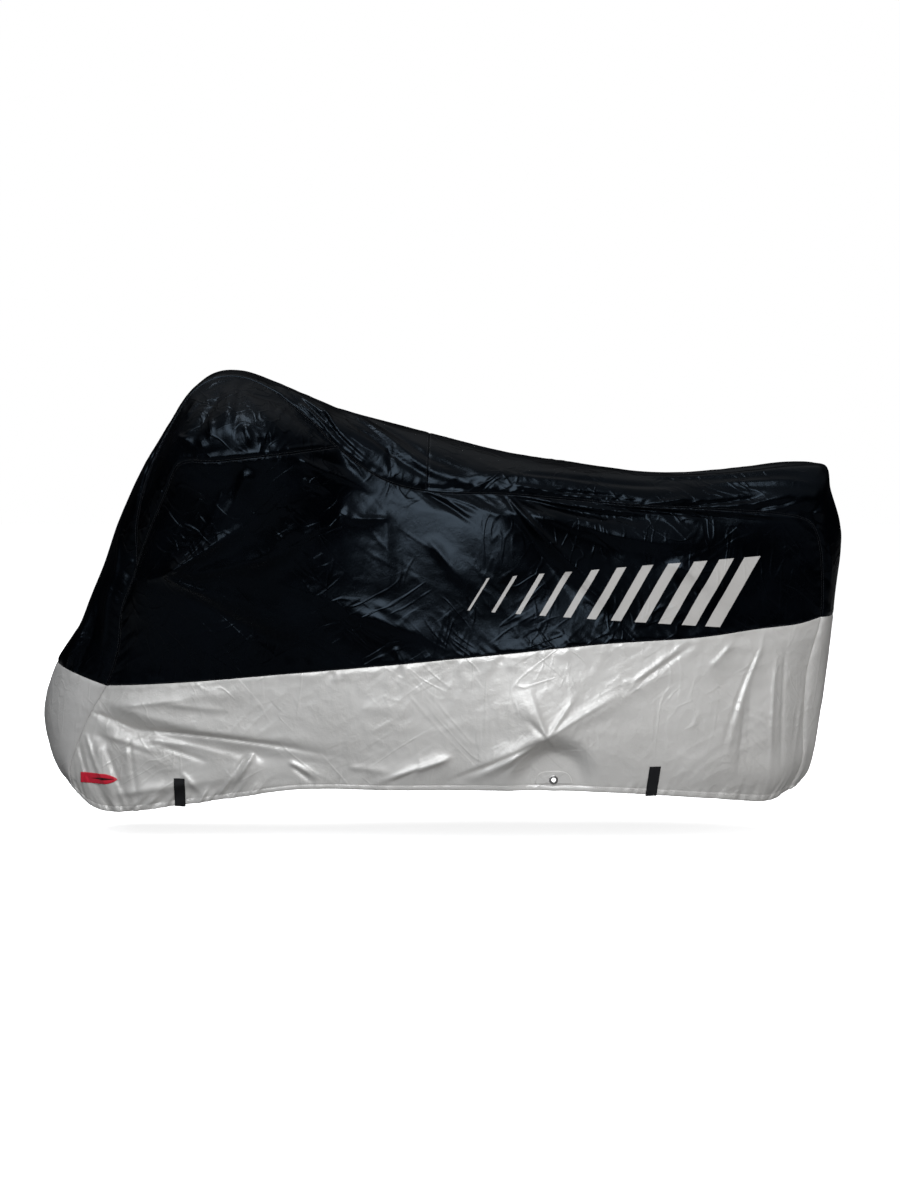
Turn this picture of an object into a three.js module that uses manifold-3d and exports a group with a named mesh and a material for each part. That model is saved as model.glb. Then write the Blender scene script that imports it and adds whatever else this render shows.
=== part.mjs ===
// A fitted cover for a parked motorcycle, hanging as it does over the machine, which is left out.
// Millimetres. x runs from the nose (minus) to the tail (plus), y to the right side, z up.
// Heights in the tables are above the ground; the finished part has its origin at supportHeight,
// under the cloth at the lowest point of the seat, where the machine holds the cover up.
import * as THREE from 'three';
import Module from 'manifold-3d';

const supportHeight = 915;
const clothThickness = 2;
const hemFold = 1;          // extra thickness of the folded hem
const hemDepth = 14;        // height of the folded hem
const hemStep = 3;          // height over which the cloth above it gets back to one layer
const seamGap = 0.3;        // clearance between neighbouring pieces
const tipClearance = 0.6;   // the same at the two pointed ends of a gusset
const trimThickness = 1.5;  // webbing, marker and eyelet patch

// Steps of the meshes along each stretch of the cover.
const steps = { silver: 9, black: 10, hump: 20, seat: 28, across: 8, gusset: 6 };

// Cross sections of the middle strip, from the front hem over the top to the rear hem:
// the ridge point on the centre plane, the point on the seam, and the half width at the seam.
const sections = [
  { at: 'nose hem', ridgeX: -1462, ridgeZ: 116, seamX: -1440, seamZ: 124, half: 100 },
  { at: 'tyre front', ridgeX: -1483, ridgeZ: 165, seamX: -1446, seamZ: 170, half: 108 },
  { at: 'wheel', ridgeX: -1508, ridgeZ: 226, seamX: -1427, seamZ: 231, half: 120 },
  { at: 'mudguard', ridgeX: -1525, ridgeZ: 304, seamX: -1388, seamZ: 319, half: 132 },
  { at: 'nose band', ridgeX: -1489, ridgeZ: 438, seamX: -1347, seamZ: 389, half: 140 },
  { at: 'lower neck', ridgeX: -1428, ridgeZ: 535, seamX: -1315, seamZ: 480, half: 150 },
  { at: 'upper neck', ridgeX: -1388, ridgeZ: 630, seamX: -1303, seamZ: 580, half: 160 },
  { at: 'gusset front', ridgeX: -1362, ridgeZ: 706, seamX: -1263, seamZ: 692, half: 170 },
  { at: 'lamp', ridgeX: -1326, ridgeZ: 800, seamX: -1261, seamZ: 795, half: 180 },
  { at: 'screen foot', ridgeX: -1262, ridgeZ: 930, seamX: -1230, seamZ: 920, half: 188 },
  { at: 'screen', ridgeX: -1185, ridgeZ: 1052, seamX: -1168, seamZ: 1050, half: 188 },
  { at: 'screen top', ridgeX: -1126, ridgeZ: 1138, seamX: -1118, seamZ: 1125, half: 178 },
  { at: 'hump front', ridgeX: -1075, ridgeZ: 1174, seamX: -1062, seamZ: 1158, half: 163 },
  { at: 'hump', ridgeX: -1010, ridgeZ: 1177, seamX: -1000, seamZ: 1160, half: 152 },
  { at: 'hump rear', ridgeX: -920, ridgeZ: 1147, seamX: -925, seamZ: 1128, half: 155 },
  { at: 'bar rear', ridgeX: -850, ridgeZ: 1119, seamX: -855, seamZ: 1075, half: 175 },
  { at: 'tank front', ridgeX: -800, ridgeZ: 1101, seamX: -808, seamZ: 1034, half: 196 },
  { at: 'gusset rear', ridgeX: -755, ridgeZ: 1084, seamX: -762, seamZ: 989, half: 215 },
  { at: 'tank', ridgeX: -640, ridgeZ: 1049, seamX: -650, seamZ: 910, half: 220 },
  { at: 'cross seam', ridgeX: -536, ridgeZ: 1020, seamX: -540, seamZ: 880, half: 214 },
  { at: 'tank rear', ridgeX: -336, ridgeZ: 970, seamX: -345, seamZ: 872, half: 204 },
  { at: 'rider seat', ridgeX: -173, ridgeZ: 944, seamX: -180, seamZ: 858, half: 191 },
  { at: 'seat dip', ridgeX: 0, ridgeZ: 923, seamX: 0, seamZ: 841, half: 176 },
  { at: 'pillion seat', ridgeX: 112, ridgeZ: 921, seamX: 112, seamZ: 836, half: 170 },
  { at: 'rear seat', ridgeX: 260, ridgeZ: 930, seamX: 255, seamZ: 828, half: 160 },
  { at: 'rack', ridgeX: 370, ridgeZ: 942, seamX: 338, seamZ: 821, half: 154 },
  { at: 'tail top', ridgeX: 440, ridgeZ: 943, seamX: 390, seamZ: 811, half: 147 },
  { at: 'tail corner', ridgeX: 473, ridgeZ: 936, seamX: 418, seamZ: 796, half: 142 },
  { at: 'tail edge', ridgeX: 482, ridgeZ: 885, seamX: 435, seamZ: 767, half: 137 },
  { at: 'tail upper', ridgeX: 503, ridgeZ: 808, seamX: 445, seamZ: 725, half: 132 },
  { at: 'tail middle', ridgeX: 508, ridgeZ: 747, seamX: 449, seamZ: 680, half: 130 },
  { at: 'tail lamp', ridgeX: 502, ridgeZ: 660, seamX: 450, seamZ: 625, half: 130 },
  { at: 'tail band', ridgeX: 493, ridgeZ: 562, seamX: 447, seamZ: 561, half: 130 },
  { at: 'rear guard', ridgeX: 480, ridgeZ: 430, seamX: 414, seamZ: 430, half: 130 },
  { at: 'rear wheel', ridgeX: 458, ridgeZ: 296, seamX: 405, seamZ: 303, half: 128 },
  { at: 'tyre rear', ridgeX: 427, ridgeZ: 178, seamX: 403, seamZ: 190, half: 122 },
  { at: 'tail hem', ridgeX: 388, ridgeZ: 115, seamX: 371, seamZ: 120, half: 112 },
];

// Lower edge of the gusset that covers the end of the handlebar.
const gussetEdge = [
  { x: -1226, z: 784, half: 205 },
  { x: -1183, z: 873, half: 250 },
  { x: -1141, z: 950, half: 290 },
  { x: -1052, z: 956, half: 330 },
  { x: -942, z: 968, half: 345 },
  { x: -849, z: 979, half: 300 },
];

// Seam between the black and the silver cloth on a side.
const bandSeam = [
  { x: -1257, z: 397, half: 190 },
  { x: -1103, z: 411, half: 235 },
  { x: -853, z: 436, half: 270 },
  { x: -607, z: 460, half: 290 },
  { x: -362, z: 485, half: 300 },
  { x: -117, z: 508, half: 285 },
  { x: 132, z: 521, half: 245 },
  { x: 286, z: 538, half: 200 },
  { x: 390, z: 547, half: 160 },
];

// Lower edge of a side.
const hemLine = [
  { x: -1392, z: 88, half: 138 },
  { x: -1352, z: 75, half: 158 },
  { x: -1299, z: 76, half: 178 },
  { x: -1178, z: 94, half: 205 },
  { x: -1038, z: 118, half: 235 },
  { x: -855, z: 147, half: 268 },
  { x: -607, z: 150, half: 295 },
  { x: -361, z: 152, half: 306 },
  { x: -116, z: 147, half: 300 },
  { x: 0, z: 138, half: 285 },
  { x: 168, z: 121, half: 245 },
  { x: 313, z: 104, half: 175 },
];

// Places where the machine pushes the cloth outwards.
const pushes = [
  { at: 'fork', x: -1189, z: 671, push: 26, reach: 150 },
  { at: 'foot rest', x: -248, z: 283, push: 38, reach: 180 },
  { at: 'knee', x: -330, z: 800, push: 12, reach: 130 },
  { at: 'engine', x: -640, z: 330, push: 16, reach: 230 },
  { at: 'rear hub', x: 100, z: 300, push: 14, reach: 190 },
];

// Folds of a side. Each starts at its first point and dies away towards the second. bow bends it
// sideways, to the left of its run, and a fold with a minus height is a trough.
const sideFolds = [
  { x: -1189, z: 671, toX: -925, toZ: 833, bow: 0, height: 20, width: 34 },
  { x: -1180, z: 665, toX: -660, toZ: 470, bow: 14, height: 16, width: 32 },
  { x: -1160, z: 680, toX: -786, toZ: 833, bow: -40, height: 15, width: 32 },
  { x: -1140, z: 650, toX: -820, toZ: 470, bow: -10, height: -12, width: 32 },
  { x: -900, z: 655, toX: -450, toZ: 492, bow: 6, height: 14, width: 30 },
  { x: -972, z: 945, toX: -1095, toZ: 750, bow: 18, height: 18, width: 34 },
  { x: -1010, z: 950, toX: -1000, toZ: 760, bow: 0, height: -12, width: 30 },
  { x: -851, z: 965, toX: -745, toZ: 850, bow: 6, height: 14, width: 28 },
  { x: -748, z: 826, toX: -630, toZ: 812, bow: 0, height: 9, width: 28 },
  { x: -640, z: 830, toX: -641, toZ: 480, bow: 0, height: 8, width: 30 },
  { x: -361, z: 868, toX: 20, toZ: 515, bow: 0, height: 23, width: 36 },
  { x: -345, z: 840, toX: -140, toZ: 560, bow: 0, height: -15, width: 32 },
  { x: -290, z: 848, toX: 290, toZ: 762, bow: -46, height: 23, width: 40 },
  { x: -224, z: 850, toX: 407, toZ: 790, bow: -6, height: -11, width: 28 },
  { x: 60, z: 700, toX: 250, toZ: 560, bow: 20, height: 11, width: 34 },
  { x: -248, z: 283, toX: -528, toZ: 160, bow: 0, height: 18, width: 34 },
  { x: -248, z: 283, toX: -384, toZ: 165, bow: 0, height: 15, width: 28 },
  { x: -248, z: 283, toX: -140, toZ: 160, bow: 0, height: 18, width: 30 },
  { x: -248, z: 283, toX: 137, toZ: 520, bow: -16, height: 22, width: 34 },
  { x: -248, z: 283, toX: -330, toZ: 420, bow: 0, height: 12, width: 28 },
  { x: -1385, z: 322, toX: -640, toZ: 214, bow: -32, height: -19, width: 28 },
  { x: -1350, z: 352, toX: -740, toZ: 262, bow: -24, height: 16, width: 34 },
  { x: -1385, z: 268, toX: -1070, toZ: 200, bow: -6, height: -15, width: 26 },
  { x: -1350, z: 262, toX: -1090, toZ: 180, bow: -6, height: 14, width: 28 },
  { x: -1305, z: 338, toX: -880, toZ: 410, bow: 0, height: 11, width: 36 },
  { x: -972, z: 228, toX: -1025, toZ: 130, bow: 0, height: 16, width: 26 },
  { x: -487, z: 235, toX: -720, toZ: 155, bow: 0, height: 12, width: 28 },
  { x: 292, z: 500, toX: 185, toZ: 160, bow: -14, height: 19, width: 28 },
  { x: 328, z: 465, toX: 318, toZ: 115, bow: -8, height: 15, width: 26 },
  { x: 262, z: 400, toX: 246, toZ: 125, bow: 0, height: -14, width: 26 },
  { x: 425, z: 520, toX: 360, toZ: 140, bow: -8, height: 12, width: 26 },
  { x: 214, z: 503, toX: 120, toZ: 400, bow: 0, height: 11, width: 28 },
  { x: -1425, z: 255, toX: -1355, toZ: 80, bow: -10, height: 12, width: 24 },
  { x: -1370, z: 245, toX: -1300, toZ: 78, bow: -10, height: 12, width: 24 },
  { x: -1290, z: 240, toX: -1235, toZ: 85, bow: -8, height: 11, width: 26 },
];

// Folds of the middle strip, placed by section number and by their place across it,
// from -1 at the left seam to 1 at the right seam.
const stripFolds = [
  { section: 4.1, across: -0.55, toSection: 7, toAcross: -0.2, height: 12, width: 32 },
  { section: 4.1, across: 0.5, toSection: 7.5, toAcross: 0.25, height: 11, width: 32 },
  { section: 5, across: 0, toSection: 9, toAcross: -0.1, height: -9, width: 34 },
  { section: 14.2, across: -0.55, toSection: 19.6, toAcross: -0.72, height: 16, width: 40 },
  { section: 14.6, across: 0.5, toSection: 19.2, toAcross: 0.7, height: 15, width: 40 },
  { section: 14.4, across: -0.1, toSection: 18.5, toAcross: 0.1, height: -12, width: 44 },
  { section: 19.4, across: -0.8, toSection: 22.4, toAcross: -0.4, height: 11, width: 34 },
  { section: 19.8, across: 0.6, toSection: 23, toAcross: 0.35, height: 11, width: 34 },
  { section: 26.6, across: -0.3, toSection: 22.5, toAcross: -0.45, height: 14, width: 34 },
  { section: 26.4, across: 0.35, toSection: 23, toAcross: 0.2, height: 12, width: 34 },
  { section: 26.8, across: -0.75, toSection: 23.5, toAcross: -0.8, height: 11, width: 30 },
  { section: 28, across: -0.5, toSection: 31.5, toAcross: -0.3, height: 11, width: 30 },
  { section: 28, across: 0.45, toSection: 32, toAcross: 0.1, height: 11, width: 32 },
  { section: 36, across: -0.4, toSection: 32.5, toAcross: -0.5, height: 12, width: 30 },
  { section: 36, across: 0.3, toSection: 33, toAcross: 0.35, height: 11, width: 30 },
  { section: 0, across: -0.4, toSection: 3, toAcross: -0.3, height: 9, width: 28 },
  { section: 0, across: 0.35, toSection: 3, toAcross: 0.4, height: 9, width: 28 },
];
const sectionPitch = 95;    // mean distance between two sections, for the width of a fold

// The far side hangs a little differently: its folds sit this far back and are this much lower.
const farSide = { shift: 34, share: 0.85 };

// The gusset bulges over the handlebar, most below its middle, and rolls in at its lower seam.
const gussetBulge = { share: 0.17, skew: 1.45 };

// Trim on each side. z is the middle of the piece, except for a strap, which ends at the hem.
const straps = [
  { name: 'front', x: -1157, bottom: 94, top: 167, lean: 0, width: 28 },
  { name: 'rear', x: 10, bottom: 134, top: 208, lean: -10, width: 28 },
];
const marker = { x: -1365, z: 158, length: 98, height: 26, point: 34 };
const eyelet = { x: -230, z: 177, half: 312, hole: 5.5, barrel: 6.7, flange: 11, rim: 1.2, sides: 20 };
const eyeletPatch = { width: 92, bottom: 167.5, top: 199, hole: 7.1 };
const flatSpot = { radius: 62, fade: 60 };    // the patch keeps the cloth around the eyelet flat

const materials = {
  black: new THREE.MeshStandardMaterial({ color: 0x14161b, roughness: 0.42, metalness: 0 }),
  silver: new THREE.MeshStandardMaterial({ color: 0xc3c0ba, roughness: 0.38, metalness: 0.25 }),
  webbing: new THREE.MeshStandardMaterial({ color: 0x0a0a0b, roughness: 0.85, metalness: 0 }),
  red: new THREE.MeshStandardMaterial({ color: 0xbe1a34, roughness: 0.5, metalness: 0 }),
  metal: new THREE.MeshStandardMaterial({ color: 0xb9b8b4, roughness: 0.3, metalness: 1 }),
};

const wasm = await Module();
wasm.setup();

const smooth = (value) => THREE.MathUtils.smoothstep(value, 0, 1);

// Curves of the cover. A point on a side keeps its half width in y until the side is known.
const sectionNumber = (at) => sections.findIndex((row) => row.at === at);
const lastSection = sections.length - 1;
const seamRow = (at) => {
  const row = sections[sectionNumber(at)];
  return { x: row.seamX, z: row.seamZ, half: row.half };
};
const pathThrough = (rows) => new THREE.CatmullRomCurve3(
  rows.map((row) => new THREE.Vector3(row.x, row.half, row.z)), false, 'centripetal');
const ridge = pathThrough(sections.map((row) => ({ x: row.ridgeX, z: row.ridgeZ, half: 0 })));
const seam = pathThrough(sections.map((row) => ({ x: row.seamX, z: row.seamZ, half: row.half })));
const gussetLine = pathThrough([seamRow('gusset front'), ...gussetEdge, seamRow('gusset rear')]);
const bandLine = pathThrough([seamRow('nose band'), ...bandSeam, seamRow('tail band')]);
const hem = pathThrough([seamRow('nose hem'), ...hemLine, seamRow('tail hem')]);

// Section numbers that part the seam from one section to another by length, after the lengths
// in first, which are kept as they are.
function partSeam(from, to, count, first = []) {
  const samples = 240;
  const numbers = [];
  const lengths = [0];
  let last = null;
  for (let k = 0; k <= samples; k++) {
    const number = THREE.MathUtils.lerp(from, to, k / samples);
    const point = seam.getPoint(number / lastSection);
    if (last) lengths.push(lengths[k - 1] + point.distanceTo(last));
    numbers.push(number);
    last = point;
  }
  const total = lengths[samples];
  const at = (length) => {
    let k = 1;
    while (k < samples && lengths[k] < length) k++;
    const share = (length - lengths[k - 1]) / (lengths[k] - lengths[k - 1]);
    return THREE.MathUtils.lerp(numbers[k - 1], numbers[k], THREE.MathUtils.clamp(share, 0, 1));
  };
  const stops = first.length ? [0, ...first.slice(0, -1)] : [];
  const start = first.at(-1) ?? 0;
  for (let k = 0; k <= count; k++) stops.push(start + (total - start) * k / count);
  return stops.map((length) => ({ number: at(length), share: length / total }));
}

// Height of one fold at a distance along and beside its run, in the fold's own direction.
function foldHeight(fold, alongShare, beside) {
  if (alongShare < -0.1 || alongShare > 1) return 0;
  const taper = smooth((alongShare + 0.1) / 0.22) * smooth((1 - alongShare) / 0.6);
  const spread = fold.width * (1 + 0.5 * Math.max(alongShare, 0));
  return fold.height * taper * Math.exp(-((beside / spread) ** 2));
}

// How far a side stands out from its plain shape at a place.
function sideRelief(x, z, side) {
  const far = side > 0;
  const shifted = far ? x - farSide.shift : x;
  let relief = 0;
  for (const spot of pushes) {
    const distance = Math.hypot(x - spot.x, z - spot.z) / spot.reach;
    relief += spot.push * Math.exp(-(distance ** 2));
  }
  for (const fold of sideFolds) {
    const runX = fold.toX - fold.x;
    const runZ = fold.toZ - fold.z;
    const length = Math.hypot(runX, runZ);
    const share = ((shifted - fold.x) * runX + (z - fold.z) * runZ) / length ** 2;
    const bend = fold.bow * 4 * share * (1 - share);
    const beside = ((z - fold.z) * runX - (shifted - fold.x) * runZ) / length - bend;
    relief += foldHeight(fold, share, beside) * (far ? farSide.share : 1);
  }
  return relief;
}

function stripRelief(number, across, half) {
  let relief = 0;
  for (const fold of stripFolds) {
    const runAlong = (fold.toSection - fold.section) * sectionPitch;
    const runAcross = (fold.toAcross - fold.across) * half;
    const along = (number - fold.section) * sectionPitch;
    const aside = (across - fold.across) * half;
    const length = Math.hypot(runAlong, runAcross);
    const share = (along * runAlong + aside * runAcross) / length ** 2;
    const beside = (aside * runAlong - along * runAcross) / length;
    relief += foldHeight(fold, share, beside);
  }
  return relief * smooth((1 - Math.abs(across)) / 0.3);
}

// A point of the middle strip: a quarter of an ellipse each side of the ridge.
function stripPoint(number, across) {
  const top = ridge.getPoint(number / lastSection);
  const edge = seam.getPoint(number / lastSection);
  const angle = across * Math.PI / 2;
  const point = new THREE.Vector3().lerpVectors(edge, top, Math.cos(angle));
  point.y = edge.y * Math.sin(angle);
  const out = new THREE.Vector3(top.x - edge.x, 0, top.z - edge.z).normalize();
  out.multiplyScalar(Math.cos(angle)).add(new THREE.Vector3(0, Math.sin(angle), 0)).normalize();
  return point.addScaledVector(out, stripRelief(number, across, edge.y));
}

// A point of the cloth between four curves: low and high are functions of the share u, and
// front and rear are the points of the two ends at the share v.
function blend(low, high, front, rear, u, v) {
  const point = new THREE.Vector3();
  point.addScaledVector(low(u), 1 - v).addScaledVector(high(u), v);
  point.addScaledVector(front, 1 - u).addScaledVector(rear, u);
  point.addScaledVector(low(0), -(1 - u) * (1 - v)).addScaledVector(low(1), -u * (1 - v));
  point.addScaledVector(high(0), -(1 - u) * v).addScaledVector(high(1), -u * v);
  return point;
}

// Adds the relief to a plain side point and puts it on its side. The relief dies out at the
// seams with the middle strip and the gusset, and around the eyelet the cloth is flat.
function finishSidePoint(point, side, u, topShare) {
  const frontFade = smooth(u / 0.045) * smooth((1 - u) / 0.05);
  point.y += sideRelief(point.x, point.z, side) * frontFade * smooth(topShare / 0.16);
  const distance = Math.hypot(point.x - eyelet.x, point.z - eyelet.z);
  const flat = 1 - smooth((distance - flatSpot.radius) / flatSpot.fade);
  point.y = THREE.MathUtils.lerp(point.y, eyelet.half, flat);
  point.y *= side;
  return point;
}

// Stations along the seam, shared by the strip and the sides so that their edges match.
const number = {
  noseBand: sectionNumber('nose band'),
  gussetFront: sectionNumber('gusset front'),
  gussetRear: sectionNumber('gusset rear'),
  crossSeam: sectionNumber('cross seam'),
  tailCorner: sectionNumber('tail corner'),
  tailBand: sectionNumber('tail band'),
};
const hemHeights = [hemDepth, hemDepth + hemStep];
const noseSilver = partSeam(0, number.noseBand, steps.silver, hemHeights);
const noseBlack = partSeam(number.noseBand, number.gussetFront, steps.black);
const humpSeam = partSeam(number.gussetFront, number.gussetRear, steps.hump);
const frontSteps = Math.round(steps.seat / 6);
const tankSeam = partSeam(number.gussetRear, number.crossSeam, frontSteps);
const seatSeam = partSeam(number.crossSeam, number.tailCorner, steps.seat - frontSteps);
const tailBlack = partSeam(number.tailBand, number.tailCorner, steps.black);
const tailSilver = partSeam(lastSection, number.tailBand, steps.silver, hemHeights);
const topSeam = [...tankSeam, ...seatSeam.slice(1)];

const onSeam = (stop) => seam.getPoint(stop.number / lastSection);
const between = (a, b) => ({ number: (a.number + b.number) / 2, share: (a.share + b.share) / 2 });
const stopAt = (stops, k) => {
  const low = Math.floor(k);
  return low === k ? stops[k] : between(stops[low], stops[low + 1]);
};

// Upper edge of a side by steps: along the gusset first, then along the top seam.
const sideSteps = steps.hump + steps.seat;
function sideTop(k) {
  if (k <= steps.hump) return gussetLine.getPointAt(Math.max(k, 0) / steps.hump);
  return onSeam(stopAt(topSeam, k - steps.hump));
}

// Upper and lower cloth of a side at a place in steps along (i) and up (j) the mesh.
function upperSidePoint(side, i, j) {
  const u = i / sideSteps;
  const front = stopAt(noseBlack, j);
  const rear = stopAt(tailBlack, j);
  const v = (front.share + rear.share) / 2;
  const top = (share) => sideTop(share * sideSteps);
  const point = blend((share) => bandLine.getPointAt(share), top, onSeam(front), onSeam(rear), u, v);
  return finishSidePoint(point, side, u, 1 - v);
}

function lowerSidePoint(side, i, j) {
  const u = i / sideSteps;
  const front = stopAt(noseSilver, j);
  const rear = stopAt(tailSilver, j);
  const v = (front.share + rear.share) / 2;
  const band = (share) => bandLine.getPointAt(share);
  const point = blend((share) => hem.getPointAt(share), band, onSeam(front), onSeam(rear), u, v);
  return finishSidePoint(point, side, u, 1);
}

function gussetPoint(side, i, j) {
  const stop = stopAt(humpSeam, i);
  const upper = onSeam(stop);
  const lower = gussetLine.getPointAt(i / steps.hump);
  const share = 1 - j / steps.gusset;
  const drop = new THREE.Vector3().subVectors(lower, upper);
  const out = new THREE.Vector3(-0.15, 0.75, 0.55).normalize();
  const bulge = gussetBulge.share * drop.length() * Math.sin(Math.PI * share ** gussetBulge.skew);
  const point = upper.addScaledVector(drop, share).addScaledVector(out, bulge);
  point.y *= side;
  return point;
}

// A panel keeps its mesh points, the middles of its cells, and how far it stands out and in.
function makePanel(name, material, countI, countJ, pointAt, side, hemRows = []) {
  const points = [];
  const middles = [];
  for (let i = 0; i <= countI; i++) {
    points.push([]);
    middles.push([]);
    for (let j = 0; j <= countJ; j++) {
      points[i].push(pointAt(i, j));
      if (i < countI && j < countJ) middles[i].push(pointAt(i + 0.5, j + 0.5));
    }
  }
  const outside = (i, j) => (hemRows.includes(`i${i}`) || hemRows.includes(`j${j}`) ? hemFold : 0);
  return { name, material, countI, countJ, points, middles, flipped: side > 0, outside };
}

function stripPanel(name, material, stops, hemRows = []) {
  const at = (i, j) => stripPoint(stopAt(stops, i).number, 2 * j / steps.across - 1);
  return makePanel(name, material, stops.length - 1, steps.across, at, -1, hemRows);
}

const tailSilverDown = [...tailSilver].reverse();
const tailBlackDown = [...tailBlack].reverse();
const tailHemRow = tailSilverDown.length - 1;
const panels = [
  stripPanel('nose_lower', 'silver', noseSilver, ['i0', 'i1']),
  stripPanel('strip_front', 'black', [...noseBlack, ...humpSeam.slice(1), ...tankSeam.slice(1)]),
  stripPanel('strip_rear', 'black', [...seatSeam, ...tailBlackDown.slice(1)]),
  stripPanel('tail_lower', 'silver', tailSilverDown, [`i${tailHemRow - 1}`, `i${tailHemRow}`]),
];
const sides = [{ word: 'left', sign: -1 }, { word: 'right', sign: 1 }];
const lowerPanels = {};
for (const { word, sign } of sides) {
  panels.push(makePanel(`side_upper_${word}`, 'black', sideSteps, steps.black,
    (i, j) => upperSidePoint(sign, i, j), sign));
  panels.push(makePanel(`gusset_${word}`, 'black', steps.hump, steps.gusset,
    (i, j) => gussetPoint(sign, i, j), sign));
  lowerPanels[word] = makePanel(`side_lower_${word}`, 'silver', sideSteps, noseSilver.length - 1,
    (i, j) => lowerSidePoint(sign, i, j), sign, ['j0', 'j1']);
  panels.push(lowerPanels[word]);
}

// Outward directions at the mesh points. Panels that meet add up theirs at the points they share,
// so that their edges are cut at the same slant.
const key = (p) => `${Math.round(p.x * 50)},${Math.round(p.y * 50)},${Math.round(p.z * 50)}`;
function outwardDirections(list) {
  const sums = new Map();
  for (const panel of list) {
    for (let i = 0; i < panel.countI; i++) {
      for (let j = 0; j < panel.countJ; j++) {
        const corners = [
          panel.points[i][j], panel.points[i + 1][j], panel.points[i + 1][j + 1], panel.points[i][j + 1],
        ];
        const across = new THREE.Vector3().subVectors(corners[2], corners[0]);
        const normal = new THREE.Vector3().subVectors(corners[3], corners[1]);
        normal.crossVectors(across, normal).multiplyScalar(panel.flipped ? -1 : 1).normalize();
        for (const corner of corners) {
          const name = key(corner);
          if (!sums.has(name)) sums.set(name, new THREE.Vector3());
          sums.get(name).add(normal);
        }
      }
    }
  }
  for (const panel of list) {
    panel.normals = panel.points.map((column) => column.map((p) => sums.get(key(p)).clone().normalize()));
  }
}
outwardDirections(panels);

// Draws a panel's edges in by half the seam gap, square to the edge.
function drawIn(panel) {
  const { points, countI, countJ } = panel;
  const moves = points.map((column) => column.map(() => new THREE.Vector3()));
  const draw = (i, j, inner, before, after) => {
    const edge = new THREE.Vector3().subVectors(after, before);
    const inward = new THREE.Vector3().subVectors(inner, points[i][j]);
    if (inward.length() < 0.01) return;
    const pointed = edge.length() < 0.01;
    if (!pointed) inward.addScaledVector(edge, -inward.dot(edge) / edge.lengthSq());
    moves[i][j].add(inward.setLength(pointed ? tipClearance : seamGap / 2));
  };
  for (const i of [0, countI]) {
    const next = i === 0 ? 1 : countI - 1;
    const pointed = points[i][0].distanceTo(points[i][countJ]) < 0.01;
    for (let j = 0; j <= countJ; j++) {
      const inner = points[next][pointed ? Math.floor(countJ / 2) : j];
      draw(i, j, inner, points[i][Math.max(j - 1, 0)], points[i][Math.min(j + 1, countJ)]);
    }
  }
  for (const j of [0, countJ]) {
    const next = j === 0 ? 1 : countJ - 1;
    for (let i = 0; i <= countI; i++) {
      draw(i, j, points[i][next], points[Math.max(i - 1, 0)][j], points[Math.min(i + 1, countI)][j]);
    }
  }
  panel.drawn = points.map((column, i) => column.map((p, j) => p.clone().add(moves[i][j])));
}

// A closed sheet between two distances from the panel's face, over a range of its cells.
function sheet(panel, outer, inner, range) {
  const { iFrom, iTo, jFrom, jTo } = range ?? { iFrom: 0, iTo: panel.countI, jFrom: 0, jTo: panel.countJ };
  const positions = [];
  const numbers = new Map();
  const index = [];
  const vertex = (i, j, distance) => {
    const p = panel.drawn[i][j].clone().addScaledVector(panel.normals[i][j], distance(i, j));
    const name = `${p.x.toFixed(4)},${p.y.toFixed(4)},${p.z.toFixed(4)}`;
    if (!numbers.has(name)) {
      numbers.set(name, positions.length / 3);
      positions.push(p.x, p.y, p.z);
    }
    return numbers.get(name);
  };
  const face = (a, b, c) => {
    if (a === b || b === c || a === c) return;
    index.push(...(panel.flipped ? [a, c, b] : [a, b, c]));
  };
  const square = (a, b, c, d, alongFirst) => {
    if (alongFirst) {
      face(a, b, c);
      face(a, c, d);
    } else {
      face(a, b, d);
      face(b, c, d);
    }
  };
  for (let i = iFrom; i < iTo; i++) {
    for (let j = jFrom; j < jTo; j++) {
      const corners = [[i, j], [i + 1, j], [i + 1, j + 1], [i, j + 1]];
      const [a, b, c, d] = corners.map(([m, n]) => panel.points[m][n]);
      const middle = panel.middles[i][j];
      const first = middle.distanceTo(new THREE.Vector3().addVectors(a, c).multiplyScalar(0.5));
      const second = middle.distanceTo(new THREE.Vector3().addVectors(b, d).multiplyScalar(0.5));
      const out = corners.map(([m, n]) => vertex(m, n, outer));
      const back = corners.map(([m, n]) => vertex(m, n, inner));
      square(...out, first <= second);
      square(back[3], back[2], back[1], back[0], first > second);
    }
  }
  const rim = [];
  for (let i = iFrom; i < iTo; i++) rim.push([i, jFrom]);
  for (let j = jFrom; j < jTo; j++) rim.push([iTo, j]);
  for (let i = iTo; i > iFrom; i--) rim.push([i, jTo]);
  for (let j = jTo; j > jFrom; j--) rim.push([iFrom, j]);
  rim.forEach(([i, j], k) => {
    const [m, n] = rim[(k + 1) % rim.length];
    square(vertex(i, j, outer), vertex(i, j, inner), vertex(m, n, inner), vertex(m, n, outer), true);
  });
  const geometry = new THREE.BufferGeometry();
  geometry.setAttribute('position', new THREE.Float32BufferAttribute(positions, 3));
  geometry.setIndex(index);
  return geometry;
}

// Geometry to manifold solid and back, for the trim and the eyelet holes.
function solidOf(geometry) {
  const position = geometry.getAttribute('position').array;
  return new wasm.Manifold(new wasm.Mesh({
    numProp: 3,
    vertProperties: new Float32Array(position),
    triVerts: new Uint32Array(geometry.index.array),
  }));
}

function geometryOf(solid) {
  const mesh = solid.getMesh();
  const geometry = new THREE.BufferGeometry();
  geometry.setAttribute('position', new THREE.Float32BufferAttribute(mesh.vertProperties, mesh.numProp));
  geometry.setIndex(Array.from(mesh.triVerts));
  return geometry;
}

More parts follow.
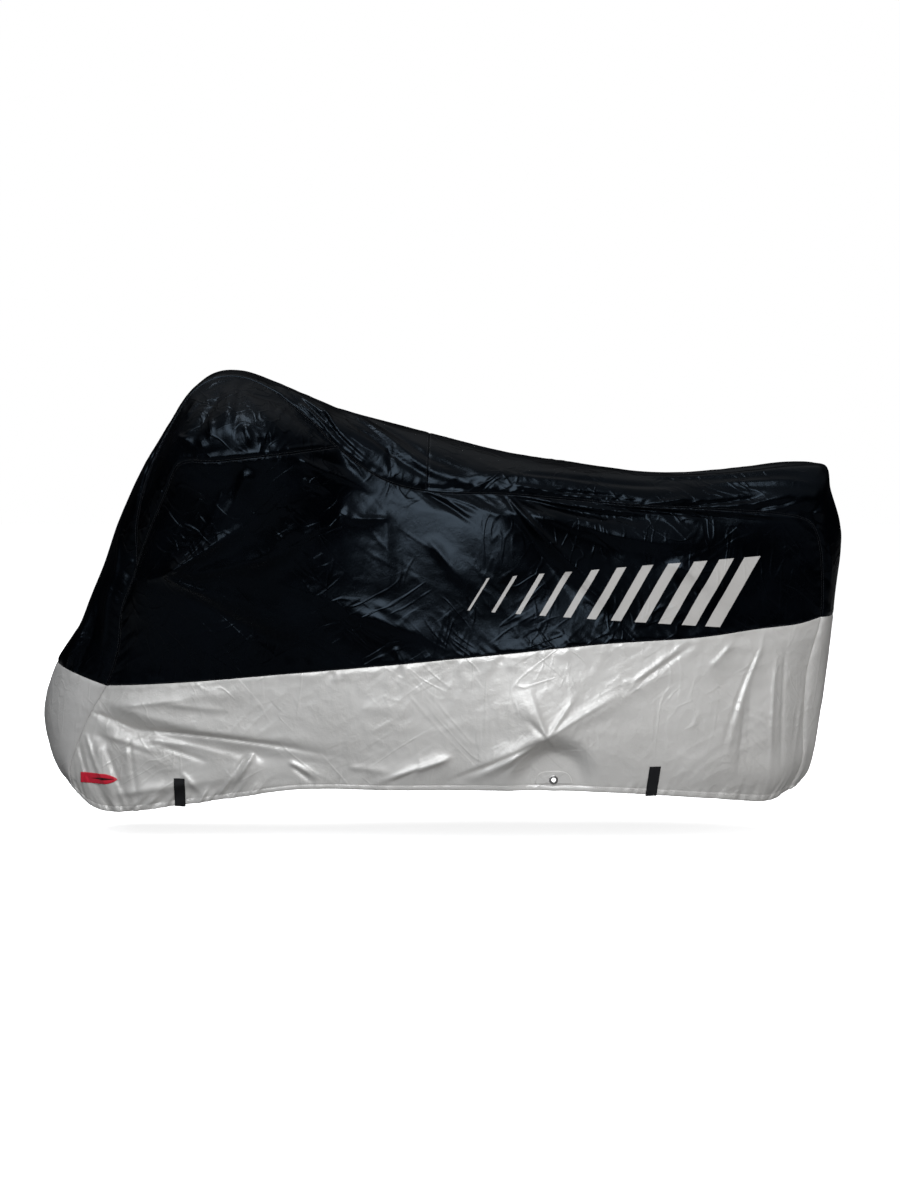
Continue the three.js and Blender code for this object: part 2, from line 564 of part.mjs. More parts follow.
// An outline in the side view, made into a prism that runs through one side.
function prismThrough(shape, side) {
  const reach = 420;
  const raw = new THREE.ExtrudeGeometry(shape, { depth: reach, bevelEnabled: false, curveSegments: 10 });
  const numbers = new Map();
  const positions = [];
  const index = [];
  const source = raw.getAttribute('position');
  for (let k = 0; k < source.count; k++) {
    const along = side < 0 ? -source.getZ(k) : reach - source.getZ(k);
    const name = `${source.getX(k).toFixed(3)},${along.toFixed(3)},${source.getY(k).toFixed(3)}`;
    if (!numbers.has(name)) {
      numbers.set(name, positions.length / 3);
      positions.push(source.getX(k), along, source.getY(k));
    }
    index.push(numbers.get(name));
  }
  const geometry = new THREE.BufferGeometry();
  geometry.setAttribute('position', new THREE.Float32BufferAttribute(positions, 3));
  geometry.setIndex(index);
  return solidOf(geometry);
}

// Trim of an even thickness that lies on a panel, cut to an outline in the side view.
function trimOn(panel, shape, side) {
  const box = new THREE.Box2().setFromPoints(shape.getPoints());
  const range = { iFrom: panel.countI, iTo: 0, jFrom: panel.countJ, jTo: 0 };
  panel.points.forEach((column, i) => column.forEach((p, j) => {
    if (p.x < box.min.x - 60 || p.x > box.max.x + 60 || p.z < box.min.y - 60 || p.z > box.max.y + 60) return;
    range.iFrom = Math.min(range.iFrom, i);
    range.iTo = Math.max(range.iTo, i);
    range.jFrom = Math.min(range.jFrom, j);
    range.jTo = Math.max(range.jTo, j);
  }));
  const low = (i, j) => panel.outside(i, j) + seamGap;
  const high = (i, j) => panel.outside(i, j) + seamGap + trimThickness;
  return solidOf(sheet(panel, high, low, range)).intersect(prismThrough(shape, side));
}

function strapShape(strap) {
  const half = strap.width / 2;
  const shape = new THREE.Shape();
  shape.moveTo(strap.x - half - strap.lean, strap.top);
  shape.lineTo(strap.x - half, strap.bottom);
  shape.lineTo(strap.x + half, strap.bottom);
  shape.lineTo(strap.x + half - strap.lean, strap.top);
  shape.closePath();
  return shape;
}

function markerShape() {
  const rear = marker.x + marker.length / 2;
  const front = marker.x - marker.length / 2;
  const half = marker.height / 2;
  const shape = new THREE.Shape();
  shape.moveTo(front, marker.z + half);
  shape.lineTo(front, marker.z - half);
  shape.lineTo(rear - marker.point, marker.z - half);
  shape.quadraticCurveTo(rear - marker.point / 3, marker.z - half * 0.8, rear, marker.z);
  shape.quadraticCurveTo(rear - marker.point / 3, marker.z + half * 0.8, rear - marker.point, marker.z + half);
  shape.closePath();
  return shape;
}

function eyeletPatchShape() {
  const half = eyeletPatch.width / 2;
  const shape = new THREE.Shape();
  shape.moveTo(eyelet.x - half, eyeletPatch.bottom);
  shape.lineTo(eyelet.x + half, eyeletPatch.bottom);
  shape.bezierCurveTo(eyelet.x + half * 0.9, eyeletPatch.top, eyelet.x + half * 0.5, eyeletPatch.top,
    eyelet.x, eyeletPatch.top);
  shape.bezierCurveTo(eyelet.x - half * 0.5, eyeletPatch.top, eyelet.x - half * 0.9, eyeletPatch.top,
    eyelet.x - half, eyeletPatch.bottom);
  const hole = new THREE.Path();
  hole.absarc(eyelet.x, eyelet.z, eyeletPatch.hole, 0, 2 * Math.PI, true);
  shape.holes.push(hole);
  return shape;
}

function circleShape(radius) {
  const shape = new THREE.Shape();
  shape.absarc(eyelet.x, eyelet.z, radius, 0, 2 * Math.PI, false);
  return shape;
}

// A pressed eyelet: two flanges and the barrel that joins them through patch and cloth.
function eyeletGeometry(side) {
  const back = clothThickness + seamGap;
  const front = seamGap + trimThickness + seamGap;
  const profile = [
    [eyelet.hole, -back - eyelet.rim], [eyelet.flange, -back - eyelet.rim], [eyelet.flange, -back],
    [eyelet.barrel, -back], [eyelet.barrel, front], [eyelet.flange, front],
    [eyelet.flange, front + eyelet.rim], [eyelet.hole, front + eyelet.rim],
    [eyelet.hole, -back - eyelet.rim],
  ].map(([radius, out]) => new THREE.Vector2(radius, out));
  const geometry = new THREE.LatheGeometry(profile, eyelet.sides);
  if (side < 0) geometry.rotateX(Math.PI);
  geometry.translate(eyelet.x, side * eyelet.half, eyelet.z);
  return geometry;
}

const cover = new THREE.Group();
const standing = new THREE.Group();
standing.position.z = -supportHeight;
cover.add(standing);

function addPiece(name, geometry, material) {
  const mesh = new THREE.Mesh(geometry, materials[material]);
  mesh.name = name;
  standing.add(mesh);
}

panels.forEach(drawIn);
for (const panel of panels) {
  let geometry = sheet(panel, panel.outside, () => -clothThickness);
  const owner = sides.find(({ word }) => panel === lowerPanels[word]);
  if (owner) {
    const hole = prismThrough(circleShape(eyeletPatch.hole), owner.sign);
    geometry = geometryOf(solidOf(geometry).subtract(hole));
  }
  addPiece(panel.name, geometry, panel.material);
}

for (const { word, sign } of sides) {
  const panel = lowerPanels[word];
  for (const strap of straps) {
    addPiece(`strap_${strap.name}_${word}`, geometryOf(trimOn(panel, strapShape(strap), sign)), 'webbing');
  }
  addPiece(`marker_${word}`, geometryOf(trimOn(panel, markerShape(), sign)), 'red');
  addPiece(`eyelet_patch_${word}`, geometryOf(trimOn(panel, eyeletPatchShape(), sign)), 'silver');
  addPiece(`eyelet_${word}`, eyeletGeometry(sign), 'metal');
}

export default cover;
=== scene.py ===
import math
import bmesh
import bpy
import numpy as np
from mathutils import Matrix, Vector
from mathutils.bvhtree import BVHTree


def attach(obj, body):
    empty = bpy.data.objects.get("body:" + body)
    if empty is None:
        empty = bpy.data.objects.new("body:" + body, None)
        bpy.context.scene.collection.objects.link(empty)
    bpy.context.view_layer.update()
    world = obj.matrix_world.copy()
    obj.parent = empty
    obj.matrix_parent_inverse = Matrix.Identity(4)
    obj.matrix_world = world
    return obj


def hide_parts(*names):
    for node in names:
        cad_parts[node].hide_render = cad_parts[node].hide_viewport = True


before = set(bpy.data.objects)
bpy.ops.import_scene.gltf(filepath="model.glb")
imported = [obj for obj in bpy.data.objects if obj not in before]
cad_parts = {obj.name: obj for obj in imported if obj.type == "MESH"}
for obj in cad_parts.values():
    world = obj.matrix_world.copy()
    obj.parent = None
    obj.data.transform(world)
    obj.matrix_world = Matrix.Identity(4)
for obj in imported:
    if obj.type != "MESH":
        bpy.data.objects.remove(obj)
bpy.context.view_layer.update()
print("frame loaded")

mm = 0.001
supportHeight = 0.915    # the origin's height above the ground

# Studio: the photo looks square at the left side, from about the height of the cover's top.
studio = {
    "cameraPlace": (-0.484, -6.5, 0.235), "cameraTilt": 4.9, "lens": 76.47,
    "floorSize": 14, "floorColor": (0.93, 0.93, 0.93, 1), "floorTint": (0.12, 0.12, 0.12, 1),
    "floorGlow": 0.85, "floorRoughness": 0.9,
    "skyLow": 0.006, "skyHigh": 0.30, "skyFrom": 0.30, "skyTo": 0.9, "skyColor": (0.93, 0.965, 1.0, 1),
    "lights": [
        # name, place, width and depth, power, target, seen in glossy surfaces
        ("keyLight", (-0.9, -3.8, 2.6), (3.1, 2.3), 142, (-0.5, 0.0, -0.2), True),
        ("topLight", (-1.3, -0.8, 3.4), (1.8, 0.7), 34, (-0.7, 0.0, 0.0), True),
        ("fillLight", (0.6, -5.6, 0.9), (5.0, 3.0), 106, (-0.2, 0.0, -0.2), False),
        ("noseLight", (-3.5, -3.3, 1.7), (1.1, 1.5), 26, (-1.1, 0.0, -0.3), True),
        ("tailLight", (3.0, -2.3, 0.3), (1.2, 1.8), 30, (0.45, 0.0, -0.3), False),
        ("farLight", (-0.6, 3.6, 2.4), (3.6, 2.0), 240, (-0.5, 0.0, -0.2), False),
    ],
}


def addObject(name, data):
    added = bpy.data.objects.new(name, data)
    bpy.context.collection.objects.link(added)
    return added


def setInputs(tree, node, inputs):
    for name, value in inputs.items():
        socket = node.inputs[name]
        if isinstance(value, bpy.types.NodeSocket):
            tree.links.new(value, socket)
        else:
            socket.default_value = value


def addNode(tree, kind, inputs=None, **settings):
    node = tree.nodes.new(kind)
    for name, value in settings.items():
        setattr(node, name, value)
    setInputs(tree, node, inputs or {})
    return node


def calculate(tree, operation, *values):
    node = addNode(tree, "ShaderNodeMath", dict(enumerate(values)), operation=operation)
    return node.outputs[0]


def rangeMap(tree, value, low, high, toLow=0.0, toHigh=1.0, kind="SMOOTHSTEP"):
    inputs = {"Value": value, "From Min": low, "From Max": high, "To Min": toLow, "To Max": toHigh}
    return addNode(tree, "ShaderNodeMapRange", inputs, interpolation_type=kind).outputs["Result"]


def mixColors(tree, share, first, second):
    node = addNode(tree, "ShaderNodeMix", {0: share, 6: first, 7: second}, data_type="RGBA")
    return node.outputs[2]


def distance(tree, first, second):
    return calculate(tree, "ABSOLUTE", calculate(tree, "SUBTRACT", first, second))


def noiseHeight(tree, place, scale, detail, **more):
    inputs = {"Vector": place, "Scale": scale, "Detail": detail, **more}
    return addNode(tree, "ShaderNodeTexNoise", inputs).outputs[0]


def newMaterial(name):
    material = bpy.data.materials.new(name)
    material.use_nodes = True
    tree = material.node_tree
    return material, tree, tree.nodes["Principled BSDF"]


def addCamera():
    data = bpy.data.cameras.new("photoCamera")
    data.lens = studio["lens"]
    data.sensor_width = 36
    camera = addObject("photoCamera", data)
    camera.location = studio["cameraPlace"]
    camera.rotation_euler = (math.radians(90 - studio["cameraTilt"]), 0, 0)
    bpy.context.scene.camera = camera


def addLights():
    for name, place, size, power, target, glossy in studio["lights"]:
        data = bpy.data.lights.new(name, "AREA")
        data.shape = "RECTANGLE"
        data.size, data.size_y = size
        data.energy = power
        data.color = studio["skyColor"][:3] if glossy else (1, 1, 1)
        lamp = addObject(name, data)
        lamp.location = place
        lamp.visible_glossy = glossy
        lamp.rotation_euler = (Vector(target) - Vector(place)).to_track_quat("-Z", "Y").to_euler()


# The studio's walls are dim and its ceiling bright, behind a plain white background.
def addSky():
    world = bpy.data.worlds.new("studio")
    bpy.context.scene.world = world
    world.use_nodes = True
    tree = world.node_tree
    direction = addNode(tree, "ShaderNodeTexCoord").outputs["Generated"]
    upward = addNode(tree, "ShaderNodeSeparateXYZ", {0: direction}).outputs["Z"]
    light = rangeMap(tree, upward, studio["skyFrom"], studio["skyTo"], studio["skyLow"], studio["skyHigh"])
    seen = addNode(tree, "ShaderNodeLightPath").outputs["Is Camera Ray"]
    strength = calculate(tree, "MAXIMUM", light, seen)
    color = mixColors(tree, seen, studio["skyColor"], (1, 1, 1, 1))
    setInputs(tree, tree.nodes["Background"], {"Strength": strength, "Color": color})


def addFloor():
    size = studio["floorSize"]
    mesh = bpy.data.meshes.new("floor")
    corners = [(-size, -size), (size, -size), (size, size), (-size, size)]
    mesh.from_pydata([(x, y, -supportHeight) for x, y in corners], [], [(0, 1, 2, 3)])
    floor = addObject("floor", mesh)
    material, tree, shader = newMaterial("paleFloor")
    seen = addNode(tree, "ShaderNodeLightPath").outputs["Is Camera Ray"]
    setInputs(tree, shader, {
        "Base Color": mixColors(tree, seen, studio["floorTint"], studio["floorColor"]),
        "Emission Strength": calculate(tree, "MULTIPLY", seen, studio["floorGlow"]),
        "Emission Color": (1, 1, 1, 1), "Roughness": studio["floorRoughness"],
    })
    mesh.materials.append(material)


addCamera()
addLights()
addSky()
addFloor()
bpy.context.scene.view_settings.view_transform = "Standard"
print("camera, lights and floor")


# Shader groups that several cloths share.
def newGroup(name, inputs, outputs):
    tree = bpy.data.node_groups.new(name, "ShaderNodeTree")
    for label, kind, value in inputs:
        socket = tree.interface.new_socket(label, in_out="INPUT", socket_type=kind)
        if value is not None:
            socket.default_value = value
    for label, kind in outputs:
        tree.interface.new_socket(label, in_out="OUTPUT", socket_type=kind)
    return tree, tree.nodes.new("NodeGroupInput"), tree.nodes.new("NodeGroupOutput")


def buildWeave():
    number, vector = "NodeSocketFloat", "NodeSocketVector"
    inputs = [("Vector", vector, None), ("Pitch", number, 0.0008)]
    tree, start, end = newGroup("plainWeave", inputs, [("Height", number)])
    parts = addNode(tree, "ShaderNodeSeparateXYZ", {0: start.outputs["Vector"]})
    turns = calculate(tree, "DIVIDE", math.pi, start.outputs["Pitch"])
    warp = calculate(tree, "SINE", calculate(tree, "MULTIPLY", parts.outputs["X"], turns))
    weft = calculate(tree, "SINE", calculate(tree, "MULTIPLY", parts.outputs["Y"], turns))
    height = calculate(tree, "MULTIPLY_ADD", calculate(tree, "MULTIPLY", warp, weft), 0.5, 0.5)
    tree.links.new(height, end.inputs["Height"])
    return tree


# Fine crumples that a folded and unpacked cloth keeps, and soft stains of dust and handling.
def buildCrumple():
    number, vector = "NodeSocketFloat", "NodeSocketVector"
    inputs = [("Vector", vector, None), ("Scale", number, 60.0), ("Sharpness", number, 0.5)]
    tree, start, end = newGroup("crumple", inputs, [("Height", number), ("Stain", number)])
    place = start.outputs["Vector"]
    scale = start.outputs["Scale"]
    bend = addNode(tree, "ShaderNodeTexNoise", {"Vector": place, "Scale": scale, "Detail": 2.0})
    shift = addNode(tree, "ShaderNodeVectorMath", {0: bend.outputs["Color"], 1: (0.012, 0.012, 0.012)},
                    operation="MULTIPLY")
    moved = addNode(tree, "ShaderNodeVectorMath", {0: place, 1: shift.outputs[0]}, operation="ADD")
    sharpness = start.outputs["Sharpness"]
    noise = noiseHeight(tree, moved.outputs[0], scale, 3.0, Roughness=0.55)
    crest = calculate(tree, "MULTIPLY", distance(tree, noise, 0.5), 4.0)
    soft = calculate(tree, "MULTIPLY", noise, calculate(tree, "SUBTRACT", 1.0, sharpness))
    sharp = calculate(tree, "MULTIPLY", calculate(tree, "SUBTRACT", 1.0, crest), sharpness)
    stain = noiseHeight(tree, place, 7.0, 5.0, Roughness=0.6)
    patchy = rangeMap(tree, stain, 0.36, 0.66, 0.15, 1.0)
    height = calculate(tree, "MULTIPLY", calculate(tree, "ADD", soft, sharp), patchy)
    setInputs(tree, end, {"Height": height, "Stain": rangeMap(tree, stain, 0.35, 0.7)})
    return tree


# Long thin creases in three slanting directions, of the kind that folding and tugging leaves.
def buildCreases():
    number, vector = "NodeSocketFloat", "NodeSocketVector"
    inputs = [("Vector", vector, None), ("Fineness", number, 24.0)]
    tree, start, end = newGroup("creaseLines", inputs, [("Height", number)])
    place, total = start.outputs["Vector"], 0.0
    for k, angle in enumerate((0.55, -0.75, 1.45)):
        inputs = {"Vector": place, "Center": (k, 3 * k, 0), "Angle": angle}
        turned = addNode(tree, "ShaderNodeVectorRotate", inputs, rotation_type="Y_AXIS").outputs[0]
        inputs = {0: turned, 1: (0.22, 1, 1)}
        longer = addNode(tree, "ShaderNodeVectorMath", inputs, operation="MULTIPLY").outputs[0]
        noise = noiseHeight(tree, longer, start.outputs["Fineness"], 1.0, Distortion=0.5)
        line = rangeMap(tree, distance(tree, noise, 0.5), 0, 0.07, 1, 0)
        there = rangeMap(tree, noiseHeight(tree, turned, 6.0, 2.0), 0.46, 0.6)
        total = calculate(tree, "MULTIPLY_ADD", line, there, total)
    tree.links.new(total, end.inputs["Height"])
    return tree


weaveGroup = buildWeave()
crumpleGroup = buildCrumple()
creaseGroup = buildCreases()

looks = {
    "blackCloth": {
        "color": (0.0001, 0.0002, 0.0005, 1), "worn": (0.0005, 0.0008, 0.0015, 1), "metallic": 0.0,
        "roughness": (0.23, 0.31), "specular": 0.17, "tint": (0.62, 0.80, 1.0, 1),
        "crumpleScale": 40.0, "sharpness": 0.6, "crumpleHeight": 0.0005, "weavePitch": 0.0007,
        "creaseFineness": 24.0, "creaseHeight": 0.0007,
    },
    "silverCloth": {
        "color": (0.60, 0.585, 0.565, 1), "worn": (0.54, 0.525, 0.505, 1), "metallic": 0.3,
        "roughness": (0.37, 0.47), "specular": 0.42, "tint": (1, 1, 1, 1),
        "crumpleScale": 40.0, "sharpness": 0.6, "crumpleHeight": 0.0010, "weavePitch": 0.0007,
        "creaseFineness": 20.0, "creaseHeight": 0.0005,
    },
    # The nose strip's silver cloth: duller, and painted darker than the side silver. The darker colour is
    # painted shade for a strip that faces away from the light.
    "noseSilverWithPaintedShade": {
        "color": (0.43, 0.42, 0.41, 1), "worn": (0.38, 0.37, 0.36, 1), "metallic": 0.1,
        "roughness": (0.5, 0.6), "specular": 0.4, "tint": (1, 1, 1, 1),
        "crumpleScale": 48.0, "sharpness": 0.4, "crumpleHeight": 0.0012, "weavePitch": 0.0007,
        "creaseFineness": 30.0, "creaseHeight": 0.0005,
    },
    "webbing": {
        "color": (0.006, 0.006, 0.007, 1), "worn": (0.011, 0.011, 0.012, 1), "metallic": 0.0,
        "roughness": (0.75, 0.88), "specular": 0.3, "tint": (1, 1, 1, 1),
        "crumpleScale": 160.0, "sharpness": 0.2, "crumpleHeight": 0.0002, "weavePitch": 0.0016,
        "creaseFineness": 20.0, "creaseHeight": 0.0,
    },
    "redMarker": {
        "color": (0.50, 0.012, 0.032, 1), "worn": (0.40, 0.010, 0.026, 1), "metallic": 0.0,
        "roughness": (0.34, 0.5), "specular": 0.5, "tint": (1, 1, 1, 1),
        "crumpleScale": 90.0, "sharpness": 0.4, "crumpleHeight": 0.0003, "weavePitch": 0.0009,
        "creaseFineness": 30.0, "creaseHeight": 0.0003,
    },
}

weaveHeight = 0.00001

# The design on each side: slanted bars that get wider and taller towards the tail. Places in metres,
# the widths as shares of the pitch, the first one's height as a share of the last one's.
bars = {
    "first": -0.418, "last": 0.258, "bottom": -0.372, "top": -0.196, "slant": 0.62, "pitch": 0.0614,
    "thin": 0.12, "wide": 0.66, "inkAndShade": (0.37, 0.355, 0.34, 1), "edge": 0.0012,
    "firstHeight": 0.45, "inkRoughness": 0.12,
}

# The slot in a marker, painted dark as painted shade in the slit: its middle and half its length along it
# in metres, its taper, the width of its soft edge in metres and the painted shade's colour.
markerSlot = {"middle": 0.060, "half": 0.036, "slope": 0.1, "edge": 0.0006, "inkAndShade": (0.02, 0.001, 0.002, 1)}


def barMask(tree, place):
    parts = addNode(tree, "ShaderNodeSeparateXYZ", {0: place})
    x, z = parts.outputs["X"], parts.outputs["Z"]
    along = calculate(tree, "SUBTRACT", x, calculate(tree, "MULTIPLY", z, bars["slant"]))
    half, middle = (bars["top"] - bars["bottom"]) / 2, (bars["top"] + bars["bottom"]) / 2
    shift = bars["slant"] * middle
    share = rangeMap(tree, along, bars["first"] - shift, bars["last"] - shift, 0, 1, "LINEAR")
    count = round((bars["last"] - bars["first"]) / bars["pitch"])
    step = calculate(tree, "MULTIPLY", share, count)
    number, part = calculate(tree, "FLOOR", step), calculate(tree, "FRACT", step)
    size = rangeMap(tree, number, 0, count - 1, bars["thin"], bars["wide"], "LINEAR")
    tall = rangeMap(tree, share, 0, 1, half * bars["firstHeight"], half, "LINEAR")
    inside = calculate(tree, "SUBTRACT", tall, distance(tree, z, middle))
    soft = bars["edge"] / bars["pitch"]
    mask = rangeMap(tree, calculate(tree, "SUBTRACT", size, part), 0, soft)
    limits = (
        rangeMap(tree, part, 0, soft), rangeMap(tree, inside, 0, bars["edge"]),
        calculate(tree, "GREATER_THAN", share, 0.0001), calculate(tree, "LESS_THAN", share, 0.9999),
    )
    for limit in limits:
        mask = calculate(tree, "MULTIPLY", mask, limit)
    return mask


def clothMaterial(name, look, printed=False, slit=False):
    values = looks[look]
    material, tree, shader = newMaterial(name)
    coordinates = addNode(tree, "ShaderNodeTexCoord")
    place, flat = coordinates.outputs["Object"], coordinates.outputs["UV"]
    inputs = {"Vector": flat, "Pitch": values["weavePitch"]}
    weave = addNode(tree, "ShaderNodeGroup", inputs, node_tree=weaveGroup)
    inputs = {"Vector": place, "Scale": values["crumpleScale"], "Sharpness": values["sharpness"]}
    crumple = addNode(tree, "ShaderNodeGroup", inputs, node_tree=crumpleGroup)
    inputs = {"Vector": place, "Fineness": values["creaseFineness"]}
    creases = addNode(tree, "ShaderNodeGroup", inputs, node_tree=creaseGroup)
    color = mixColors(tree, crumple.outputs["Stain"], values["color"], values["worn"])
    low, high = values["roughness"]
    roughness = rangeMap(tree, crumple.outputs["Stain"], 0, 1, low, high, "LINEAR")
    if printed:
        mask = barMask(tree, place)
        color = mixColors(tree, mask, color, bars["inkAndShade"])
        roughness = calculate(tree, "MULTIPLY_ADD", mask, bars["inkRoughness"], roughness)
    # The marker's slot is painted dark: painted shade in the slit, with a soft edge.
    if slit:
        parts = addNode(tree, "ShaderNodeSeparateXYZ", {0: flat})
        across = calculate(tree, "ABSOLUTE", parts.outputs["Y"])
        away = distance(tree, parts.outputs["X"], markerSlot["middle"])
        room = calculate(tree, "SUBTRACT", markerSlot["half"], away)
        room = calculate(tree, "MULTIPLY", room, markerSlot["slope"])
        mask = rangeMap(tree, calculate(tree, "SUBTRACT", room, across), 0, markerSlot["edge"])
        color = mixColors(tree, mask, color, markerSlot["inkAndShade"])
    height = calculate(tree, "MULTIPLY", crumple.outputs["Height"], values["crumpleHeight"])
    height = calculate(tree, "MULTIPLY_ADD", creases.outputs["Height"], values["creaseHeight"], height)
    height = calculate(tree, "MULTIPLY_ADD", weave.outputs["Height"], weaveHeight, height)
    bump = addNode(tree, "ShaderNodeBump", {"Height": height, "Distance": 1.0, "Strength": 1.0})
    setInputs(tree, shader, {
        "Base Color": color, "Roughness": roughness, "Metallic": values["metallic"],
        "Specular IOR Level": values["specular"], "Specular Tint": values["tint"],
        "Normal": bump.outputs["Normal"],
    })
    return material


def threadMaterial(name, color):
    material, tree, shader = newMaterial(name)
    noise = noiseHeight(tree, addNode(tree, "ShaderNodeTexCoord").outputs["Object"], 900.0, 2.0)
    shade = tuple(part * 0.7 for part in color[:3]) + (1,)
    bump = addNode(tree, "ShaderNodeBump", {"Height": noise, "Distance": 0.0001})
    color = mixColors(tree, noise, color, shade)
    setInputs(tree, shader, {"Base Color": color, "Roughness": 0.7, "Normal": bump.outputs["Normal"]})
    return material


def eyeletMetal():
    material, tree, shader = newMaterial("eyeletMetal")
    noise = noiseHeight(tree, addNode(tree, "ShaderNodeTexCoord").outputs["Object"], 380.0, 3.0)
    color = mixColors(tree, noise, (0.62, 0.61, 0.59, 1), (0.50, 0.49, 0.47, 1))
    roughness = rangeMap(tree, noise, 0, 1, 0.22, 0.4, "LINEAR")
    setInputs(tree, shader, {"Base Color": color, "Roughness": roughness, "Metallic": 1.0})
    return material


materials = {
    "black": clothMaterial("blackCloth", "blackCloth"),
    "blackPrinted": clothMaterial("blackClothWithBars", "blackCloth", printed=True),
    "silver": clothMaterial("silverCloth", "silverCloth"),
    # the nose strip's silver, with painted shade in its darker colour
    "nose": clothMaterial("dullSilverWithPaintedShade", "noseSilverWithPaintedShade"),
    "webbing": clothMaterial("strapWebbing", "webbing"),
    "red": clothMaterial("redMarker", "redMarker", slit=True),
    "metal": eyeletMetal(),
    "darkThread": threadMaterial("darkThread", (0.012, 0.013, 0.016, 1)),
    "paleThread": threadMaterial("paleThread", (0.50, 0.49, 0.47, 1)),
}
print("materials")

# Cross sections of the middle strip: name, ridge x and height on the centre plane, seam x and
# height, half width at the seam. Millimetres, heights above the ground, as in all tables below.
sections = [
    ("nose hem", -1454, 134, -1440, 124, 100),
    ("nose foot", -1478, 165, -1446, 170, 108),
    ("nose low", -1508, 226, -1427, 231, 120),
    ("nose round", -1525, 304, -1388, 319, 132),
    ("nose band", -1489, 438, -1347, 389, 140),
    ("lower neck", -1428, 535, -1315, 480, 150),
    ("upper neck", -1388, 630, -1303, 580, 160),
    ("gusset front", -1362, 706, -1263, 692, 170),
    ("brow low", -1326, 800, -1261, 795, 180),
    ("brow", -1262, 930, -1230, 920, 188),
    ("brow top", -1185, 1052, -1168, 1050, 188),
    ("hump foot", -1126, 1138, -1118, 1125, 178),
    ("hump front", -1075, 1174, -1062, 1158, 163),
    ("hump", -1010, 1177, -1000, 1160, 152),
    ("hump rear", -920, 1147, -925, 1128, 155),
    ("hump end", -850, 1119, -855, 1075, 175),
    ("slope top", -800, 1101, -808, 1034, 196),
    ("gusset rear", -755, 1084, -762, 989, 215),
    ("slope", -640, 1049, -650, 910, 220),
    ("cross seam", -536, 1020, -540, 880, 214),
    ("slope foot", -336, 970, -345, 872, 204),
    ("dip front", -173, 944, -180, 858, 191),
    ("dip", 0, 923, 0, 841, 176),
    ("dip rear", 112, 921, 112, 836, 170),
    ("back front", 260, 930, 255, 828, 160),
    ("back", 370, 942, 338, 821, 154),
    ("tail top", 440, 943, 390, 811, 147),
    ("tail corner", 473, 936, 418, 796, 142),
    ("tail edge", 482, 885, 435, 767, 137),
    ("tail upper", 503, 808, 445, 725, 132),
    ("tail middle", 508, 747, 449, 680, 130),
    ("tail round", 502, 660, 450, 625, 130),
    ("tail band", 493, 562, 447, 561, 130),
    ("tail low", 480, 430, 414, 430, 130),
    ("tail foot", 458, 296, 405, 303, 128),
    ("tail end", 427, 178, 403, 190, 122),
    ("tail hem", 403, 130, 371, 120, 112),
]

# Curves of a side: x, height, half width.
gussetEdge = [
    (-1226, 784, 205), (-1183, 873, 250), (-1141, 950, 290),
    (-1052, 956, 330), (-942, 968, 345), (-849, 979, 300),
]
bandSeam = [
    (-1257, 397, 190), (-1103, 411, 235), (-853, 436, 270), (-607, 460, 290), (-362, 485, 300),
    (-117, 508, 285), (132, 521, 245), (286, 538, 200), (390, 547, 160),
]
hemLine = [
    (-1392, 88, 138), (-1352, 75, 158), (-1299, 76, 178), (-1178, 94, 205), (-1038, 118, 235),
    (-855, 147, 268), (-607, 150, 295), (-361, 152, 306), (-116, 147, 300), (0, 138, 285),
    (168, 121, 245), (313, 104, 175),
]

# Places where the cloth is pushed outwards from inside: x, height, push, reach.
pushes = [
    (-1189, 671, 26, 150), (-248, 283, 38, 180), (-330, 800, 12, 130),
    (-640, 330, 16, 230), (100, 300, 14, 190), (-430, 730, 17, 190),
]

# Broad folds of a side: start, end, bow, height, width. A minus height is a trough.
sideFolds = [
    (-1189, 671, -925, 833, 0, 17.5, 28.9), (-1180, 665, -660, 470, 14, 9, 30),
    (-1160, 680, -786, 833, -40, 13.1, 27.2), (-1140, 650, -820, 470, -10, -10.5, 27.2),
    (-900, 655, -450, 492, 6, 6.5, 30), (-972, 945, -1095, 750, 18, 15.8, 28.9),
    (-1010, 950, -1000, 760, 0, -10.5, 25.5), (-851, 965, -745, 850, 6, 12.2, 23.8),
    (-748, 826, -630, 812, 0, 7.9, 23.8), (-640, 830, -641, 480, 0, 7, 25.5),
    (-361, 868, 20, 515, 0, 20.1, 30.6), (-345, 840, -140, 560, 0, -13.1, 27.2),
    (-290, 848, 290, 762, -46, 20.1, 34), (-224, 850, 407, 790, -6, -9.6, 23.8),
    (60, 700, 250, 560, 20, 9.6, 28.9), (-248, 283, -528, 160, 0, 12.6, 28.9),
    (-248, 283, -384, 165, 0, 10.5, 23.8), (-248, 283, -140, 160, 0, 12.6, 25.5),
    (-248, 283, 137, 520, -16, 6, 26), (-248, 283, -330, 420, 0, 8.4, 23.8),
    (-1385, 322, -640, 214, -32, -10, 22), (-1350, 352, -740, 262, -24, 11.2, 28.9),
    (-1385, 268, -1070, 200, -6, -10.5, 22.1), (-1350, 262, -1090, 180, -6, 9.8, 23.8),
    (-1305, 338, -880, 410, 0, 7.7, 30.6), (-972, 228, -1025, 130, 0, 11.2, 22.1),
    (-487, 235, -720, 155, 0, 8.4, 23.8), (292, 500, 185, 160, -14, 4.2, 20),
    (328, 465, 318, 115, -8, 4, 18), (262, 400, 246, 125, 0, -5.5, 20), (425, 520, 360, 140, -8, 3.8, 18),
    (214, 503, 120, 400, 0, 4.5, 20), (-1425, 255, -1355, 80, -10, 8.4, 20.4),
    (-1370, 245, -1300, 78, -10, 8.4, 20.4), (-1290, 240, -1235, 85, -8, 7.7, 22.1),
    (-1310, 122, -950, 186, 0, 9, 17),
]

